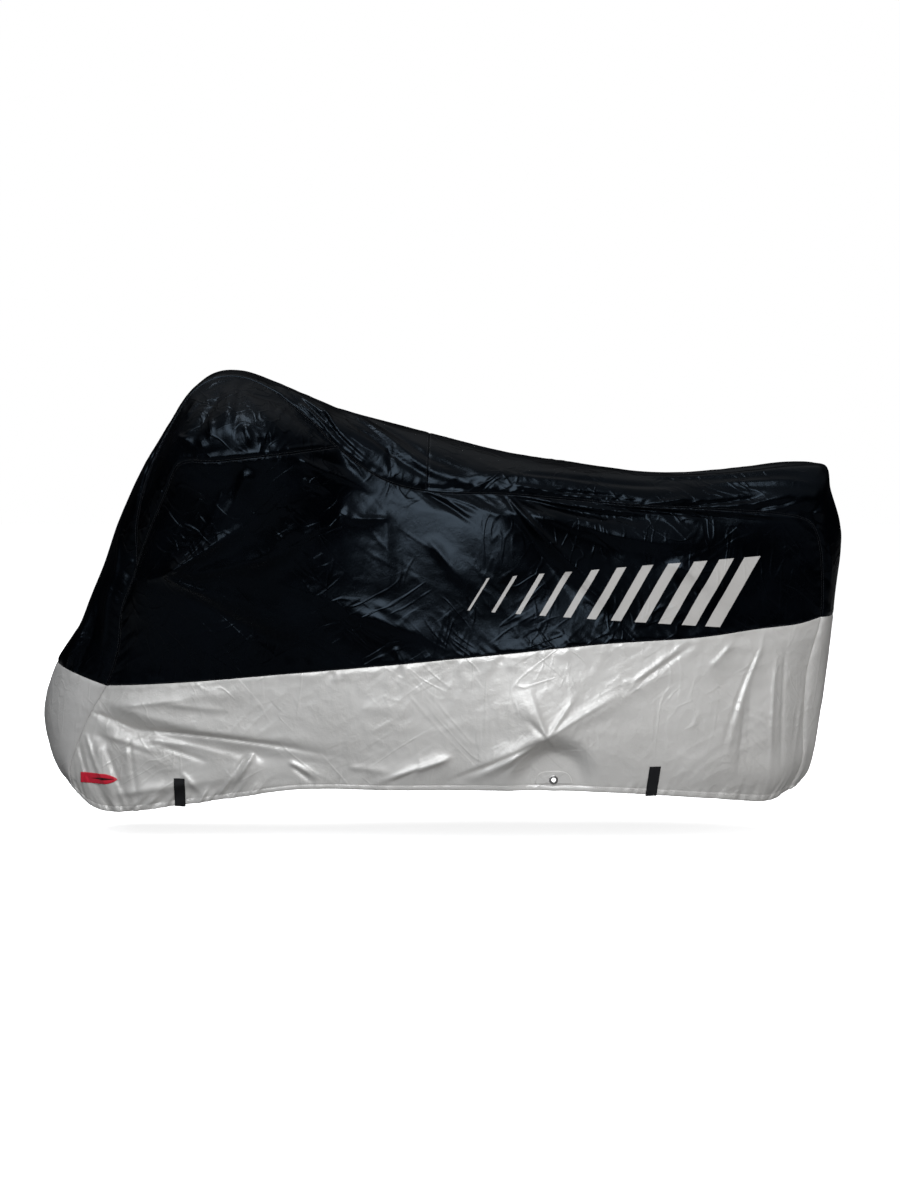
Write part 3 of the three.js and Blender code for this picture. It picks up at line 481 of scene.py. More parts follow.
# Sharper creases on top of them, in the same columns.
sideCreases = [
    (-1184, 673, -936, 832, 0, 7.4, 7.4), (-1184, 673, -1000, 590, 0, 8.6, 8.1),
    (-1184, 673, -1117, 742, 0, 5.4, 6.2), (-1228, 662, -1184, 673, 0, 6.4, 6.2),
    (-1160, 651, -709, 485, -14, 7, 17), (-979, 705, -819, 774, -12, 4.6, 14),
    (-838, 765, -792, 838, -6, 4.2, 12), (-904, 758, -828, 815, 0, 3.4, 13),
    (-1036, 885, -1110, 745, 8, 4, 12), (-850, 962, -690, 882, 0, 9.7, 7.4),
    (-840, 912, -775, 882, 0, 6.4, 6.8), (-812, 968, -715, 925, 0, -7.4, 6),
    (-790, 940, -660, 870, 0, 6.4, 6.8), (-557, 882, -405, 785, 4, -8.6, 6),
    (-520, 876, -425, 818, 0, 6.4, 6), (-506, 872, -330, 806, 4, 6.4, 7.4),
    (-535, 760, -410, 612, 0, 6.2, 18), (-350, 872, -247, 700, 0, -8, 8.1),
    (-350, 872, -185, 700, 0, 7.5, 6.8), (-340, 870, -150, 690, 0, -6.4, 6),
    (-326, 825, -255, 705, 0, 5.4, 6.2), (-330, 870, -45, 750, -6, -8, 11.2),
    (-325, 871, 120, 815, -10, 7.4, 7.4), (-310, 868, 60, 800, -16, -9.7, 8.7),
    (-100, 842, 400, 800, -4, -8.6, 7.4), (170, 836, 398, 801, 2, 10.7, 6.8),
    (-641, 815, -760, 812, 0, 6.4, 7.4), (-754, 587, -438, 491, 6, 4.6, 18),
    (-664, 604, -560, 560, 0, 2.6, 14), (60, 600, 130, 545, 0, 3, 12),
    (-1244, 284, -690, 216, 12, -8.7, 5.5), (-1244, 262, -960, 205, 10, 7.8, 10.1),
    (-1377, 318, -1195, 243, 6, -8.7, 6.7), (-1195, 243, -1060, 203, 0, -5.7, 5.6),
    (-1350, 268, -1140, 195, 8, 8.7, 12.2), (-971, 230, -1026, 150, 0, 9.6, 5.5),
    (-988, 228, -1042, 152, 0, -7.8, 5.5), (-880, 215, -800, 172, 0, 7.8, 7.3),
    (-872, 203, -812, 158, 0, -6.8, 5.5), (-1180, 352, -1000, 338, 0, 4.8, 10.1),
    (-1300, 345, -1090, 372, 0, 5.7, 8.9), (-487, 232, -698, 157, 0, 7.8, 6.1),
    (-560, 205, -650, 162, 0, -5.7, 5.5), (-730, 205, -600, 186, 4, 4, 10),
    (-700, 352, -540, 330, 10, 2.5, 18), (-248, 283, -384, 173, 0, -7.8, 5.5),
    (-248, 283, -528, 160, 4, -7.8, 5.6), (-248, 283, -450, 168, 0, 7.8, 5.6),
    (-248, 283, -157, 167, 0, 7.8, 5.5), (-248, 283, -195, 168, 0, -6.8, 5.5),
    (-248, 283, -159, 410, 0, 6, 5.5), (-248, 283, -28, 406, 6, 6, 6.1), (-28, 406, 137, 520, 0, -6, 6.1),
    (-30, 420, 118, 520, 0, 5, 5.6), (-248, 283, -308, 342, 0, -6.8, 5.5),
    (-248, 283, -300, 430, 0, 4.8, 6.7), (-60, 420, 0, 393, 0, 3.4, 5.5),
    (-75, 402, -22, 383, 0, -2.8, 5.5), (289, 490, 193, 185, -10, 4, 5),
    (277, 480, 180, 200, -10, -4.8, 5), (328, 455, 318, 127, -6, 4.4, 5),
    (352, 472, 345, 122, -4, -4.4, 5), (440, 545, 371, 128, -6, 6, 5.5), (214, 505, 142, 432, 0, 3, 5.5),
    (128, 338, 101, 282, 0, 1.4, 5.6), (246, 345, 226, 150, 0, -3.8, 5.5),
    (-1425, 252, -1362, 92, -6, -5.7, 5.5), (-1400, 262, -1318, 90, -6, 6.8, 5.5),
    (-1284, 258, -1258, 92, -4, -6.8, 5.5), (-1345, 235, -1282, 88, -4, -6.8, 5.5),
    (-1150, 180, -1095, 120, 0, 5.7, 5.6), (-620, 500, -585, 420, 0, 4.8, 7.8),
    (-1285, 84, -1228, 134, 0, 7.5, 6), (-1262, 82, -1196, 132, 0, 7, 6),
    (-1228, 86, -1178, 128, 0, -6, 5.5), (-1150, 92, -1128, 146, 0, 7.5, 6),
    (-1134, 94, -1100, 150, 0, -6.5, 5.5), (-1118, 97, -1080, 150, 0, 8, 6),
    (-1092, 104, -1050, 152, 0, 7.5, 6), (-1056, 128, -990, 226, 0, 9, 7),
    (-1032, 124, -972, 200, 0, -7, 6),
]

# Folds of the middle strip: section number and place across it from -1 to 1 at the start and at
# the end, height, width.
stripFolds = [
    (4.1, -0.55, 7, -0.2, 10.1, 27.2), (4.1, 0.5, 7.5, 0.25, 9.2, 27.2), (5, 0, 9, -0.1, -7.6, 28.9),
    (14.2, -0.55, 19.6, -0.72, 13.4, 34), (14.6, 0.5, 19.2, 0.7, 12.6, 34),
    (14.4, -0.1, 18.5, 0.1, -10.1, 37.4), (19.4, -0.8, 22.4, -0.4, 9.2, 28.9),
    (19.8, 0.6, 23, 0.35, 9.2, 28.9), (26.6, -0.3, 22.5, -0.45, 11.8, 28.9),
    (26.4, 0.35, 23, 0.2, 10.1, 28.9), (26.8, -0.75, 23.5, -0.8, 9.2, 25.5),
    (28, -0.5, 31.5, -0.3, 9.2, 25.5), (28, 0.45, 32, 0.1, 9.2, 27.2), (36, -0.4, 32.5, -0.5, 10.1, 25.5),
    (36, 0.3, 33, 0.35, 9.2, 25.5), (0, -0.4, 3, -0.3, 7.6, 23.8), (0, 0.35, 3, 0.4, 7.6, 23.8),
]

# Sharper creases of its left half. The right half has them too, a little further back.
stripCreases = [
    (17.2, -0.3, 19.95, -0.98, 9.9, 9.3), (17.5, -0.18, 19.9, -0.84, -7.2, 8.1),
    (17.2, -0.48, 19.7, -0.98, -7.2, 6.8), (18.08, -0.62, 18.22, -0.96, -7.2, 6),
    (18.15, -0.6, 18.8, -0.8, 5.4, 6), (16.4, -0.7, 18.1, -0.97, -8.1, 6.2),
    (16.0, -0.55, 18.0, -0.95, 9, 7.4), (15.0, -0.75, 17.6, -0.96, 7.2, 6.8),
    (14.5, -0.53, 17.0, -0.86, -6.2, 6.8), (18.9, -0.97, 19.75, -0.94, -6.2, 6),
    (20.1, -0.84, 20.9, -0.92, 5.4, 6), (20.7, -0.88, 22.0, -0.84, -6.2, 6),
    (21.4, -0.94, 22.1, -0.9, -5.4, 6), (20.2, -0.64, 23.2, -0.54, -7.2, 10.5),
    (22.1, -0.94, 23.3, -0.78, 6.2, 6), (23.0, -0.95, 24.7, -0.72, -6.2, 6),
    (23.4, -0.97, 25.4, -0.74, 6.2, 6), (24.2, -0.97, 25.8, -0.8, -6.2, 6),
    (24.6, -0.97, 26.3, -0.78, 5.4, 6), (25.2, -0.97, 26.5, -0.86, -5.4, 6),
    (22.2, -0.35, 26.2, -0.45, 7.2, 9.3), (22.6, -0.15, 26.4, -0.25, -6.2, 8.1),
    (23.5, -0.55, 26.6, -0.6, 6.2, 8.1), (26.9, -0.9, 28.2, -0.7, 6.2, 6),
    (27.2, -0.95, 28.6, -0.8, -6.2, 6), (27.6, -0.97, 29, -0.85, 5.4, 6),
    (4.1, -0.48, 6.0, -0.42, 7.2, 6.8), (4.1, -0.32, 5.4, -0.36, 6.2, 6),
    (4.1, -0.62, 6.6, -0.5, -7.2, 6.8), (5.0, -0.78, 7.2, -0.62, 6.2, 6.2),
    (6.6, -0.7, 9.2, -0.4, 5.4, 6.8), (8.4, -0.9, 10.4, -0.55, 5.4, 6.8),
    (29.0, -0.8, 31.6, -0.72, 5.4, 7.4),
]
sectionPitch = 95    # mean distance between two sections, for the length of a fold

# Folds of the gusset, in the columns of sideFolds.
gussetFolds = [
    (-1018, 1152, -1042, 985, 6, 5.2, 16.8), (-1000, 1142, -1006, 978, 0, -5.4, 9.1),
    (-996, 1128, -865, 1008, 0, 7, 16.8), (-988, 1122, -850, 1084, 0, -6.8, 6.3),
    (-980, 1040, -957, 985, 0, 6.8, 8.4), (-942, 1012, -900, 982, 0, -5.8, 8.4),
    (-1050, 1122, -1122, 985, 0, -8.9, 12.6), (-1128, 1062, -1092, 1118, 0, 6.8, 7),
    (-1150, 1015, -1105, 1002, 0, 5.8, 6.3), (-1090, 1010, -1068, 968, 0, 5.8, 7),
    (-828, 1030, -790, 1000, 0, -5.8, 6), (-852, 1100, -815, 1035, 0, -6.8, 6.3),
    (-905, 1082, -838, 1030, 0, 5.8, 8.4), (-1065, 1060, -1060, 975, 0, 4.8, 9.8),
]

# The right side and its gusset have the folds of the left ones, moved back, and the side's are less high.
farSide = {"shift": 34, "share": 0.85, "gussetShift": 0.4}
# The cloth is flat round the eyelet.
flatSpot = {"x": -230, "height": 177, "half": 312, "radius": 62, "fade": 60}

# Wrinkles that start at an edge: edge, from and to as shares of its length, pitch, height,
# length, width, lean, seed.
upperGathers = [
    ("high", 0.46, 0.64, 30, 2.6, 70, 7, 0.9, 11), ("high", 0.64, 0.99, 34, 2.2, 60, 7, 1.0, 12),
    ("high", 0.02, 0.42, 26, 2.6, 50, 6, 0.3, 13), ("front", 0.02, 0.98, 16, 4.2, 60, 6, 0.3, 14),
    ("rear", 0.03, 0.97, 26, 2.6, 45, 8, -0.2, 15), ("low", 0.52, 0.86, 27, 3.0, 95, 10, -0.75, 16),
    ("low", 0.03, 0.52, 30, 2.0, 45, 8, -0.3, 17), ("low", 0.86, 0.98, 30, 2.4, 60, 9, -0.2, 18),
]
lowerGathers = [
    ("low", 0.01, 0.12, 19, 4.2, 120, 7, -0.45, 21), ("low", 0.085, 0.28, 20, 8.5, 75, 8, 0.6, 22),
    ("low", 0.27, 0.74, 34, 2.4, 50, 9, 0.1, 23), ("low", 0.74, 0.90, 24, 3.2, 65, 9, 0.1, 24),
    ("low", 0.90, 0.99, 19, 4.6, 150, 9, 0.1, 25), ("high", 0.03, 0.30, 30, 1.8, 40, 8, 0.2, 26),
    ("high", 0.30, 0.60, 20, 3.2, 75, 9, 0.2, 27), ("high", 0.60, 0.97, 30, 2.2, 55, 9, 0.5, 28),
    ("front", 0.05, 0.95, 30, 1.8, 45, 8, 0.0, 29), ("rear", 0.05, 0.95, 40, 1.6, 35, 8, 0.0, 30),
]
stripGathers = {
    "strip_front": [
        ("low", 0.02, 0.98, 24, 3.0, 62, 7, 0.5, 31), ("high", 0.02, 0.98, 24, 3.0, 62, 7, 0.5, 32),
        ("front", 0.05, 0.95, 17, 3.6, 90, 6, 0.0, 33), ("rear", 0.05, 0.95, 34, 1.4, 35, 8, 0.0, 34),
    ],
    "strip_rear": [
        ("low", 0.02, 0.98, 26, 3.0, 66, 8, 0.8, 35), ("high", 0.02, 0.98, 26, 3.0, 66, 8, 0.8, 36),
        ("front", 0.05, 0.95, 34, 1.4, 35, 8, 0.0, 37), ("rear", 0.05, 0.95, 30, 2.2, 50, 8, 0.0, 38),
    ],
    "nose_lower": [
        ("low", 0.05, 0.97, 40, 1.4, 40, 8, 0.0, 39), ("high", 0.05, 0.97, 40, 1.4, 40, 8, 0.0, 40),
        ("front", 0.04, 0.96, 22, 3.2, 70, 8, 0.0, 41), ("rear", 0.05, 0.95, 34, 1.4, 30, 8, 0.0, 42),
    ],
    "tail_lower": [
        ("low", 0.03, 0.95, 40, 2.0, 45, 8, 0.0, 43), ("high", 0.03, 0.95, 40, 2.0, 45, 8, 0.0, 44),
        ("rear", 0.04, 0.96, 20, 4.2, 120, 8, 0.0, 45), ("front", 0.05, 0.95, 34, 1.6, 40, 8, 0.0, 46),
    ],
}
gussetGathers = [
    ("low", 0.03, 0.97, 17, 3.6, 34, 5, 0.2, 51), ("high", 0.04, 0.96, 26, 2.4, 44, 7, 0.3, 52),
]


def smooth(value):
    value = np.clip(value, 0, 1)
    return value * value * (3 - 2 * value)


def mix(first, second, share):
    return first + (second - first) * share


# A smooth curve through points, as close points with their row numbers and lengths.
def curveThrough(points, perRow=48):
    points = np.array(points, float)
    points = np.vstack([2 * points[0] - points[1], points, 2 * points[-1] - points[-2]])
    last = len(points) - 3
    parts, rows = [], []
    for k in range(1, last + 1):
        p0, p1, p2, p3 = points[k - 1:k + 3]
        d0, d1, d2 = (math.sqrt(np.linalg.norm(b - a)) for a, b in ((p0, p1), (p1, p2), (p2, p3)))
        t1 = ((p1 - p0) / d0 - (p2 - p0) / (d0 + d1) + (p2 - p1) / d1) * d1
        t2 = ((p2 - p1) / d1 - (p3 - p1) / (d1 + d2) + (p3 - p2) / d2) * d1
        t = np.arange(perRow + (k == last))[:, None] / perRow
        square, cube = 3 * (p2 - p1) - 2 * t1 - t2, 2 * (p1 - p2) + t1 + t2
        parts.append(p1 + t1 * t + square * t ** 2 + cube * t ** 3)
        rows.append(k - 1 + t[:, 0])
    dense = np.concatenate(parts)
    lengths = np.concatenate([[0], np.cumsum(np.linalg.norm(np.diff(dense, axis=0), axis=1))])
    return {"points": dense, "rows": np.concatenate(rows), "lengths": lengths}


def readCurve(curve, at, key="rows"):
    return np.stack([np.interp(at, curve[key], curve["points"][:, k]) for k in range(3)], -1)


def atShares(curve, shares):
    return readCurve(curve, np.asarray(shares) * curve["lengths"][-1], "lengths")


# Row numbers that part the seam from one row to another evenly by length, in either direction.
def evenRows(first, last, shares):
    start, end = np.interp([first, last], seam["rows"], seam["lengths"])
    return np.interp(mix(start, end, np.asarray(shares)), seam["lengths"], seam["rows"])


def toMetres(x, height, half):
    return np.array([x * mm, half * mm, height * mm - supportHeight])


rowOf = {row[0]: k for k, row in enumerate(sections)}
ridge = curveThrough([toMetres(row[1], row[2], 0) for row in sections])
seam = curveThrough([toMetres(row[3], row[4], row[5]) for row in sections])


def sideCurve(first, rows, last):
    ends = [readCurve(seam, rowOf[name]) for name in (first, last)]
    return curveThrough([ends[0], *(toMetres(*row) for row in rows), ends[1]])


gussetLine = sideCurve("gusset front", gussetEdge, "gusset rear")
bandLine = sideCurve("nose band", bandSeam, "tail band")
hem = sideCurve("nose hem", hemLine, "tail hem")


# Smooth random hills between about -1 and 1, one to a unit, the same for the same seed.
def hills(x, z, seed):
    angles = np.random.default_rng(seed).uniform(0, 2 * math.pi, (64, 64))
    cellX, cellZ = np.floor(x).astype(int), np.floor(z).astype(int)
    partX, partZ = x - cellX, z - cellZ
    total = 0
    for stepX in (0, 1):
        for stepZ in (0, 1):
            angle = angles[(cellX + stepX) % 64, (cellZ + stepZ) % 64]
            weight = smooth(1 - np.abs(partX - stepX)) * smooth(1 - np.abs(partZ - stepZ))
            total = total + weight * (np.cos(angle) * (partX - stepX) + np.sin(angle) * (partZ - stepZ))
    return total * 1.5


# What crumples and creases of each kind of panel are like: heights in millimetres, sizes in metres
# or, for the strips, in millimetres, directions in radians.
crinkles = {
    # broad and small crumples as height, size, turn and stretch; creases as height, size and turns
    "upper": ((1.6, 0.13, -0.5, 1.9), (0.45, 0.055, -0.4, 1.6), (1.3, 0.045, (0.55, -0.75))),
    "lower": ((1.1, 0.085, 0.2, 1.5), (0.7, 0.038, 0.0, 1.0), (1.4, 0.04, (0.7, -0.3))),
    "strip": ((1.3, 110, 0.1, 2.2), (0.45, 45, 0.0, 1.6), (1.4, 40, (0.2, -0.5))),
    "gusset": ((1.1, 0.09, -0.9, 1.4), (0.5, 0.04, 0.0, 1.0), (1.4, 0.035, (1.2, 0.3))),
}


# Crumpled cloth: low sharp crests between soft hollows, longer along the turned direction.
def crumples(x, z, seed, size, turn, stretch):
    along = (x * math.cos(turn) + z * math.sin(turn)) / (size * stretch)
    across = (z * math.cos(turn) - x * math.sin(turn)) / size
    bendX = along + 0.5 * hills(along * 0.7 + 5, across * 0.7, seed + 1)
    bendZ = across + 0.5 * hills(along * 0.7, across * 0.7 + 9, seed + 2)
    return 0.55 - 2 * np.sqrt(hills(bendX, bendZ, seed) ** 2 + 0.0025)


# Long thin creases in slanting directions, of the kind that folding and tugging leaves.
def fineCreases(x, z, seed, size, turns):
    total = np.zeros_like(x)
    for k, turn in enumerate(turns):
        along = (x * math.cos(turn) + z * math.sin(turn)) / (size * 5)
        across = (z * math.cos(turn) - x * math.sin(turn)) / size
        across = across + 0.8 * hills(along * 0.9 + 3, across * 0.25, seed + 10 * k)
        line = np.exp(-np.abs(hills(along + 7, across, seed + 10 * k + 1)) / 0.15)
        there = smooth((hills(along * 0.8, across * 0.22 + 4, seed + 10 * k + 2) - 0.05) / 0.5)
        total += line * there
    return total


def crinkle(x, z, seed, kind):
    (tall, *broad), (low, *small), (sharp, *creases) = crinkles[kind]
    total = tall * crumples(x, z, seed, *broad) + low * crumples(x, z, seed + 5, *small)
    return total + sharp * fineCreases(x, z, seed + 9, *creases)


# Height of one fold. It is sharper than a plain wave, steeper on one side, and dies away at its end.
def foldHeight(partX, partZ, runX, runZ, bow, height, width):
    length = np.hypot(runX, runZ)
    share = (partX * runX + partZ * runZ) / length ** 2
    beside = (partZ * runX - partX * runZ) / length - bow * 4 * share * (1 - share)
    taper = smooth((share + 0.08) / 0.2) * smooth((1 - share) / 0.6)
    spread = width * (0.6 + 0.7 * np.clip(share, 0, 1)) * np.where(beside > 0, 1.2, 0.8)
    crest = np.exp(0.16 - np.sqrt((beside / spread) ** 2 + 0.0256))
    wave = np.exp(-(beside / (spread * 1.2)) ** 2)
    return height * taper * (0.45 * crest + 0.55 * wave)


def allFolds(x, z, rows):
    total = np.zeros_like(x)
    for startX, startZ, endX, endZ, bow, height, width in rows:
        total += foldHeight(x - startX, z - startZ, endX - startX, endZ - startZ, bow, height, width)
    return total


def stripHeight(number, across, half, rows):
    total = np.zeros_like(across * half)
    for start, startAcross, end, endAcross, height, width in rows:
        runX, runZ = (end - start) * sectionPitch, (endAcross - startAcross) * half
        partX, partZ = (number - start) * sectionPitch, (across - startAcross) * half
        total += foldHeight(partX, partZ, runX, runZ, 0, height, width)
    return total


# Lengths along both ways of a grid of points, and from each of its edges the distance and the
# place along that edge, in millimetres.
def measureGrid(points):
    u = np.zeros(points.shape[:2])
    v = np.zeros(points.shape[:2])
    u[1:] = np.cumsum(np.linalg.norm(np.diff(points, axis=0), axis=2), axis=0) / mm
    v[:, 1:] = np.cumsum(np.linalg.norm(np.diff(points, axis=1), axis=2), axis=1) / mm
    flat = np.zeros_like(u)
    return {
        "u": u, "v": v,
        "low": (v, flat + u[:, :1]), "high": (v[:, -1:] - v, flat + u[:, -1:]),
        "front": (u, flat + v[:1]), "rear": (u[-1:] - u, flat + v[-1:]),
    }


# Wrinkles of uneven size that run into the cloth from an edge: the ranges of what varies, the share
# of them that stands out, and how much wider one gets over its length.
wrinkle = {
    "height": (0.35, 1.0), "length": (0.4, 1.2), "lean": (-0.3, 0.3), "width": (0.6, 1.3),
    "pitch": (0.5, 1.5), "outward": 0.65, "flare": 0.8,
}


def edgeWrinkles(sizes, rows):
    total = np.zeros_like(sizes["u"])
    for edge, first, last, pitch, height, length, width, lean, seed in rows:
        depth, place = sizes[edge]
        end = place.max()
        rng = np.random.default_rng(seed)
        at = first * end
        while at < last * end:
            tall = height * rng.uniform(*wrinkle["height"])
            tall = tall * (1 if rng.random() < wrinkle["outward"] else -1)
            reach = length * rng.uniform(*wrinkle["length"])
            slant = lean + rng.uniform(*wrinkle["lean"])
            spread = width * rng.uniform(*wrinkle["width"]) * (1 + wrinkle["flare"] * depth / length)
            beside = (place - at - slant * depth) / spread
            total += tall * np.exp(-beside ** 2) * smooth(1 - depth / reach)
            at += pitch * rng.uniform(*wrinkle["pitch"])
    return total


def gridNormals(points, turned=False):
    normals = np.cross(np.gradient(points, axis=0), np.gradient(points, axis=1))
    sizes = np.linalg.norm(normals, axis=2, keepdims=True)
    normals = normals / np.maximum(sizes, 1e-15)
    for end, inner in ((0, 1), (-1, -2)):
        pointed = sizes[end, :, 0] < 1e-10
        normals[end][pointed] = normals[inner][pointed]
    return -normals if turned else normals


# Shares from 0 to 1 for a length, with extra stops at given distances from its two ends.
def stopShares(length, cell, nearStart=(), nearEnd=()):
    start, end = [0, *nearStart], [0, *nearEnd]
    room = length - start[-1] - end[-1]
    inner = start[-1] + np.linspace(0, room, max(round(room / cell), 2) + 1)
    return np.concatenate([start[:-1], inner, length - np.array(end[:-1])[::-1]]) / length


# A closed sheet between an outer and an inner grid of points. keep marks the cells that are
# there, and a wrapped grid closes on itself along its first way.
def sheetPiece(name, outer, inner, uv, material, keep=None, turned=False, wrapped=False):
    countU, countV = outer.shape[:2]
    index = np.arange(countU * countV).reshape(countU, countV)
    if keep is None:
        keep = np.ones((countU - 1, countV - 1), bool)
    back = countU * countV
    a, b, c, d = (part[keep] for part in (index[:-1, :-1], index[1:, :-1], index[1:, 1:], index[:-1, 1:]))
    faces = [np.stack([a, b, c, d], 1), np.stack([d, c, b, a], 1) + back]
    solid = np.pad(keep, 1)
    below = solid[1:-1, 1:] & ~solid[1:-1, :-1]
    above = solid[1:-1, :-1] & ~solid[1:-1, 1:]
    before = solid[1:, 1:-1] & ~solid[:-1, 1:-1]
    after = solid[:-1, 1:-1] & ~solid[1:, 1:-1]
    rims = [(index[:-1][below], index[1:][below]), (index[1:][above], index[:-1][above])]
    if not wrapped:
        rims.append((index[:, 1:][before], index[:, :-1][before]))
        rims.append((index[:, :-1][after], index[:, 1:][after]))
    for start, end in rims:
        faces.append(np.stack([start, start + back, end + back, end], 1))
    faces = np.concatenate(faces)
    if turned:
        faces = faces[:, ::-1]
    points = np.concatenate([outer.reshape(-1, 3), inner.reshape(-1, 3)])
    used, faces = np.unique(faces, return_inverse=True)
    faces = faces.reshape(-1, 4)
    mapped = np.tile(uv.reshape(-1, 2), (2, 1))[used]
    mesh = bpy.data.meshes.new(name)
    mesh.from_pydata(points[used].tolist(), [], faces.tolist())
    layer = mesh.uv_layers.new(name="cloth")
    layer.data.foreach_set("uv", mapped[faces.ravel()].astype(np.float32).ravel())
    work = bmesh.new()
    work.from_mesh(mesh)
    bmesh.ops.remove_doubles(work, verts=work.verts, dist=0.00001)
    work.to_mesh(mesh)
    work.free()
    mesh.polygons.foreach_set("use_smooth", np.ones(len(mesh.polygons), bool))
    mesh.materials.append(material)
    return addObject(name, mesh)


def declare(piece, node, slot, flat, area, restsOn):
    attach(piece, "root")
    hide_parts(node)


# How the cloth is cut and folded everywhere. Thickness and stops are in metres, and a stop is a row of
# the mesh at that distance from the edge. The rest is in millimetres.
cloth = {
    "thickness": 0.0012, "hemFold": (0.6, 1.0, 1.0, -0.35), "hemStops": (0.0016, 0.0108, 0.0120, 0.0134),
    "seamStops": (0.0016, 0.0042, 0.0085), "seamDip": 1.1, "dipWidth": 3.4,
    # waves along a seam as height and length, in metres, how far they reach, and the share beyond that
    "seamWaves": ((1.5, 0.055), (0.7, 0.023)), "waveReach": 40, "waveShare": 0.25,
    "seamSeeds": {-1: 61, 1: 71},
}


def finishPanel(name, points, sizes, extra, material, turned=False, keep=None):
    outer = points + gridNormals(points, turned) * extra[..., None]
    inner = points - gridNormals(points, turned) * cloth["thickness"]
    uv = np.stack([sizes["u"], sizes["v"]], -1) * mm
    piece = sheetPiece(name, outer, inner, uv, material, keep, turned)
    return {"piece": piece, "outer": outer, "normals": gridNormals(outer, turned), "sizes": sizes}


# What both panels at a seam share: the seam waves a little and lies in a shallow dip.
def seamShape(x, z, side, depth):
    wave = 0
    for k, (height, length) in enumerate(cloth["seamWaves"]):
        wave = wave + height * hills(x / length, z / length, cloth["seamSeeds"][side] + k)
    dip = cloth["seamDip"] * np.exp(-(depth / cloth["dipWidth"]) ** 2)
    return wave * np.maximum(np.exp(-depth / cloth["waveReach"]), cloth["waveShare"]) - dip


def sideShape(x, z, side):
    placeX, placeZ = x / mm, (z + supportHeight) / mm
    total = np.zeros_like(x)
    for spotX, spotZ, push, reach in pushes:
        total += push * np.exp(-((placeX - spotX) ** 2 + (placeZ - spotZ) ** 2) / reach ** 2)
    shifted = placeX - farSide["shift"] * (side > 0)
    share = farSide["share"] if side > 0 else 1
    broad = total + allFolds(shifted, placeZ, sideFolds) * share
    return broad, allFolds(shifted, placeZ, sideCreases) * share


# A side panel between four curves, given by points along them.
def sidePatch(low, high, front, rear, u, v):
    u, v = u[:, None, None], v[None, :, None]
    low, high, front, rear = low[:, None], high[:, None], front[None], rear[None]
    corners = (1 - u) * (1 - v) * low[:1] + u * (1 - v) * low[-1:]
    corners = corners + (1 - u) * v * high[:1] + u * v * high[-1:]
    return (1 - v) * low + v * high + (1 - u) * front + u * rear - corners


# The distance from an edge over which each relief of a side rises, in millimetres. The lower panel's
# top edge has none for folds and creases, because they run on over the seam.
sideFade = {"folds": 70, "foldsBelow": 60, "creases": 18, "creasesBelow": 14, "wrinkles": 12}


def shapeSide(points, side, sizes, seams, gathers, spec):
    x, z = points[..., 0], points[..., 2]
    depth = np.min([sizes[edge][0] for edge in seams], axis=0)
    broad, fine = sideShape(x, z, side)
    ends = np.minimum(sizes["front"][0], sizes["rear"][0])
    top = sizes["high"][0] if "low" in seams else np.full_like(x, np.inf)
    relief = broad * smooth(ends / sideFade["folds"]) * smooth(top / sideFade["foldsBelow"])
    relief += fine * smooth(ends / sideFade["creases"]) * smooth(top / sideFade["creasesBelow"])
    wrinkles = crinkle(x, z, spec["seeds"][side], spec["kind"]) + edgeWrinkles(sizes, gathers)
    relief += wrinkles * smooth(depth / sideFade["wrinkles"])
    relief += seamShape(x, z, side, depth)
    points[..., 1] += relief * mm
    away = np.hypot(x - flatSpot["x"] * mm, z + supportHeight - flatSpot["height"] * mm) / mm
    flat = 1 - smooth((away - flatSpot["radius"]) / flatSpot["fade"])
    points[..., 1] = mix(points[..., 1], flatSpot["half"] * mm, flat)
    points[..., 1] *= side


upperSide = {
    "cell": {-1: (0.0044, 0.0044), 1: (0.0062, 0.0066)}, "length": 1.95, "height": 0.47,
    "kind": "upper", "seeds": {-1: 100, 1: 140},
    "gussetSteps": 20, "slopeSteps": 5, "backSteps": 23,
    # passes that calm the panel below the gusset, up to this share of its height from the top
    "calmPasses": 400, "calmFrom": 0.5, "calmFoot": 0.1,
}


def makeUpperSide(side, word):
    spec = upperSide
    cellX, cellZ = spec["cell"][side]
    u = stopShares(spec["length"], cellX, cloth["seamStops"], cloth["seamStops"])
    v = stopShares(spec["height"], cellZ, cloth["seamStops"], cloth["seamStops"])
    steps = u * (spec["gussetSteps"] + spec["slopeSteps"] + spec["backSteps"])
    past = steps - spec["gussetSteps"]
    beyond = past - spec["slopeSteps"]
    slope = evenRows(rowOf["gusset rear"], rowOf["cross seam"], past / spec["slopeSteps"])
    back = evenRows(rowOf["cross seam"], rowOf["tail corner"], beyond / spec["backSteps"])
    onGusset = atShares(gussetLine, np.clip(steps / spec["gussetSteps"], 0, 1))
    onSeam = readCurve(seam, np.where(beyond > 0, back, slope))
    high = np.where((past > 0)[:, None], onSeam, onGusset)
    front = readCurve(seam, evenRows(rowOf["nose band"], rowOf["gusset front"], v))
    rear = readCurve(seam, evenRows(rowOf["tail band"], rowOf["tail corner"], v))
    points = sidePatch(atShares(bandLine, u), high, front, rear, u, v)
    fade = (smooth((1 - v) / spec["calmFrom"]) * smooth(v / spec["calmFoot"]))[None, :, None]
    for _ in range(spec["calmPasses"]):
        points[1:-1] += (points[:-2] + points[2:] - 2 * points[1:-1]) * fade * 0.25
    sizes = measureGrid(points)
    shapeSide(points, side, sizes, ("low", "high", "front", "rear"), upperGathers, spec)
    extra = np.zeros(points.shape[:2])
    return finishPanel(f"upperSide_{word}", points, sizes, extra, materials["blackPrinted"], side > 0)


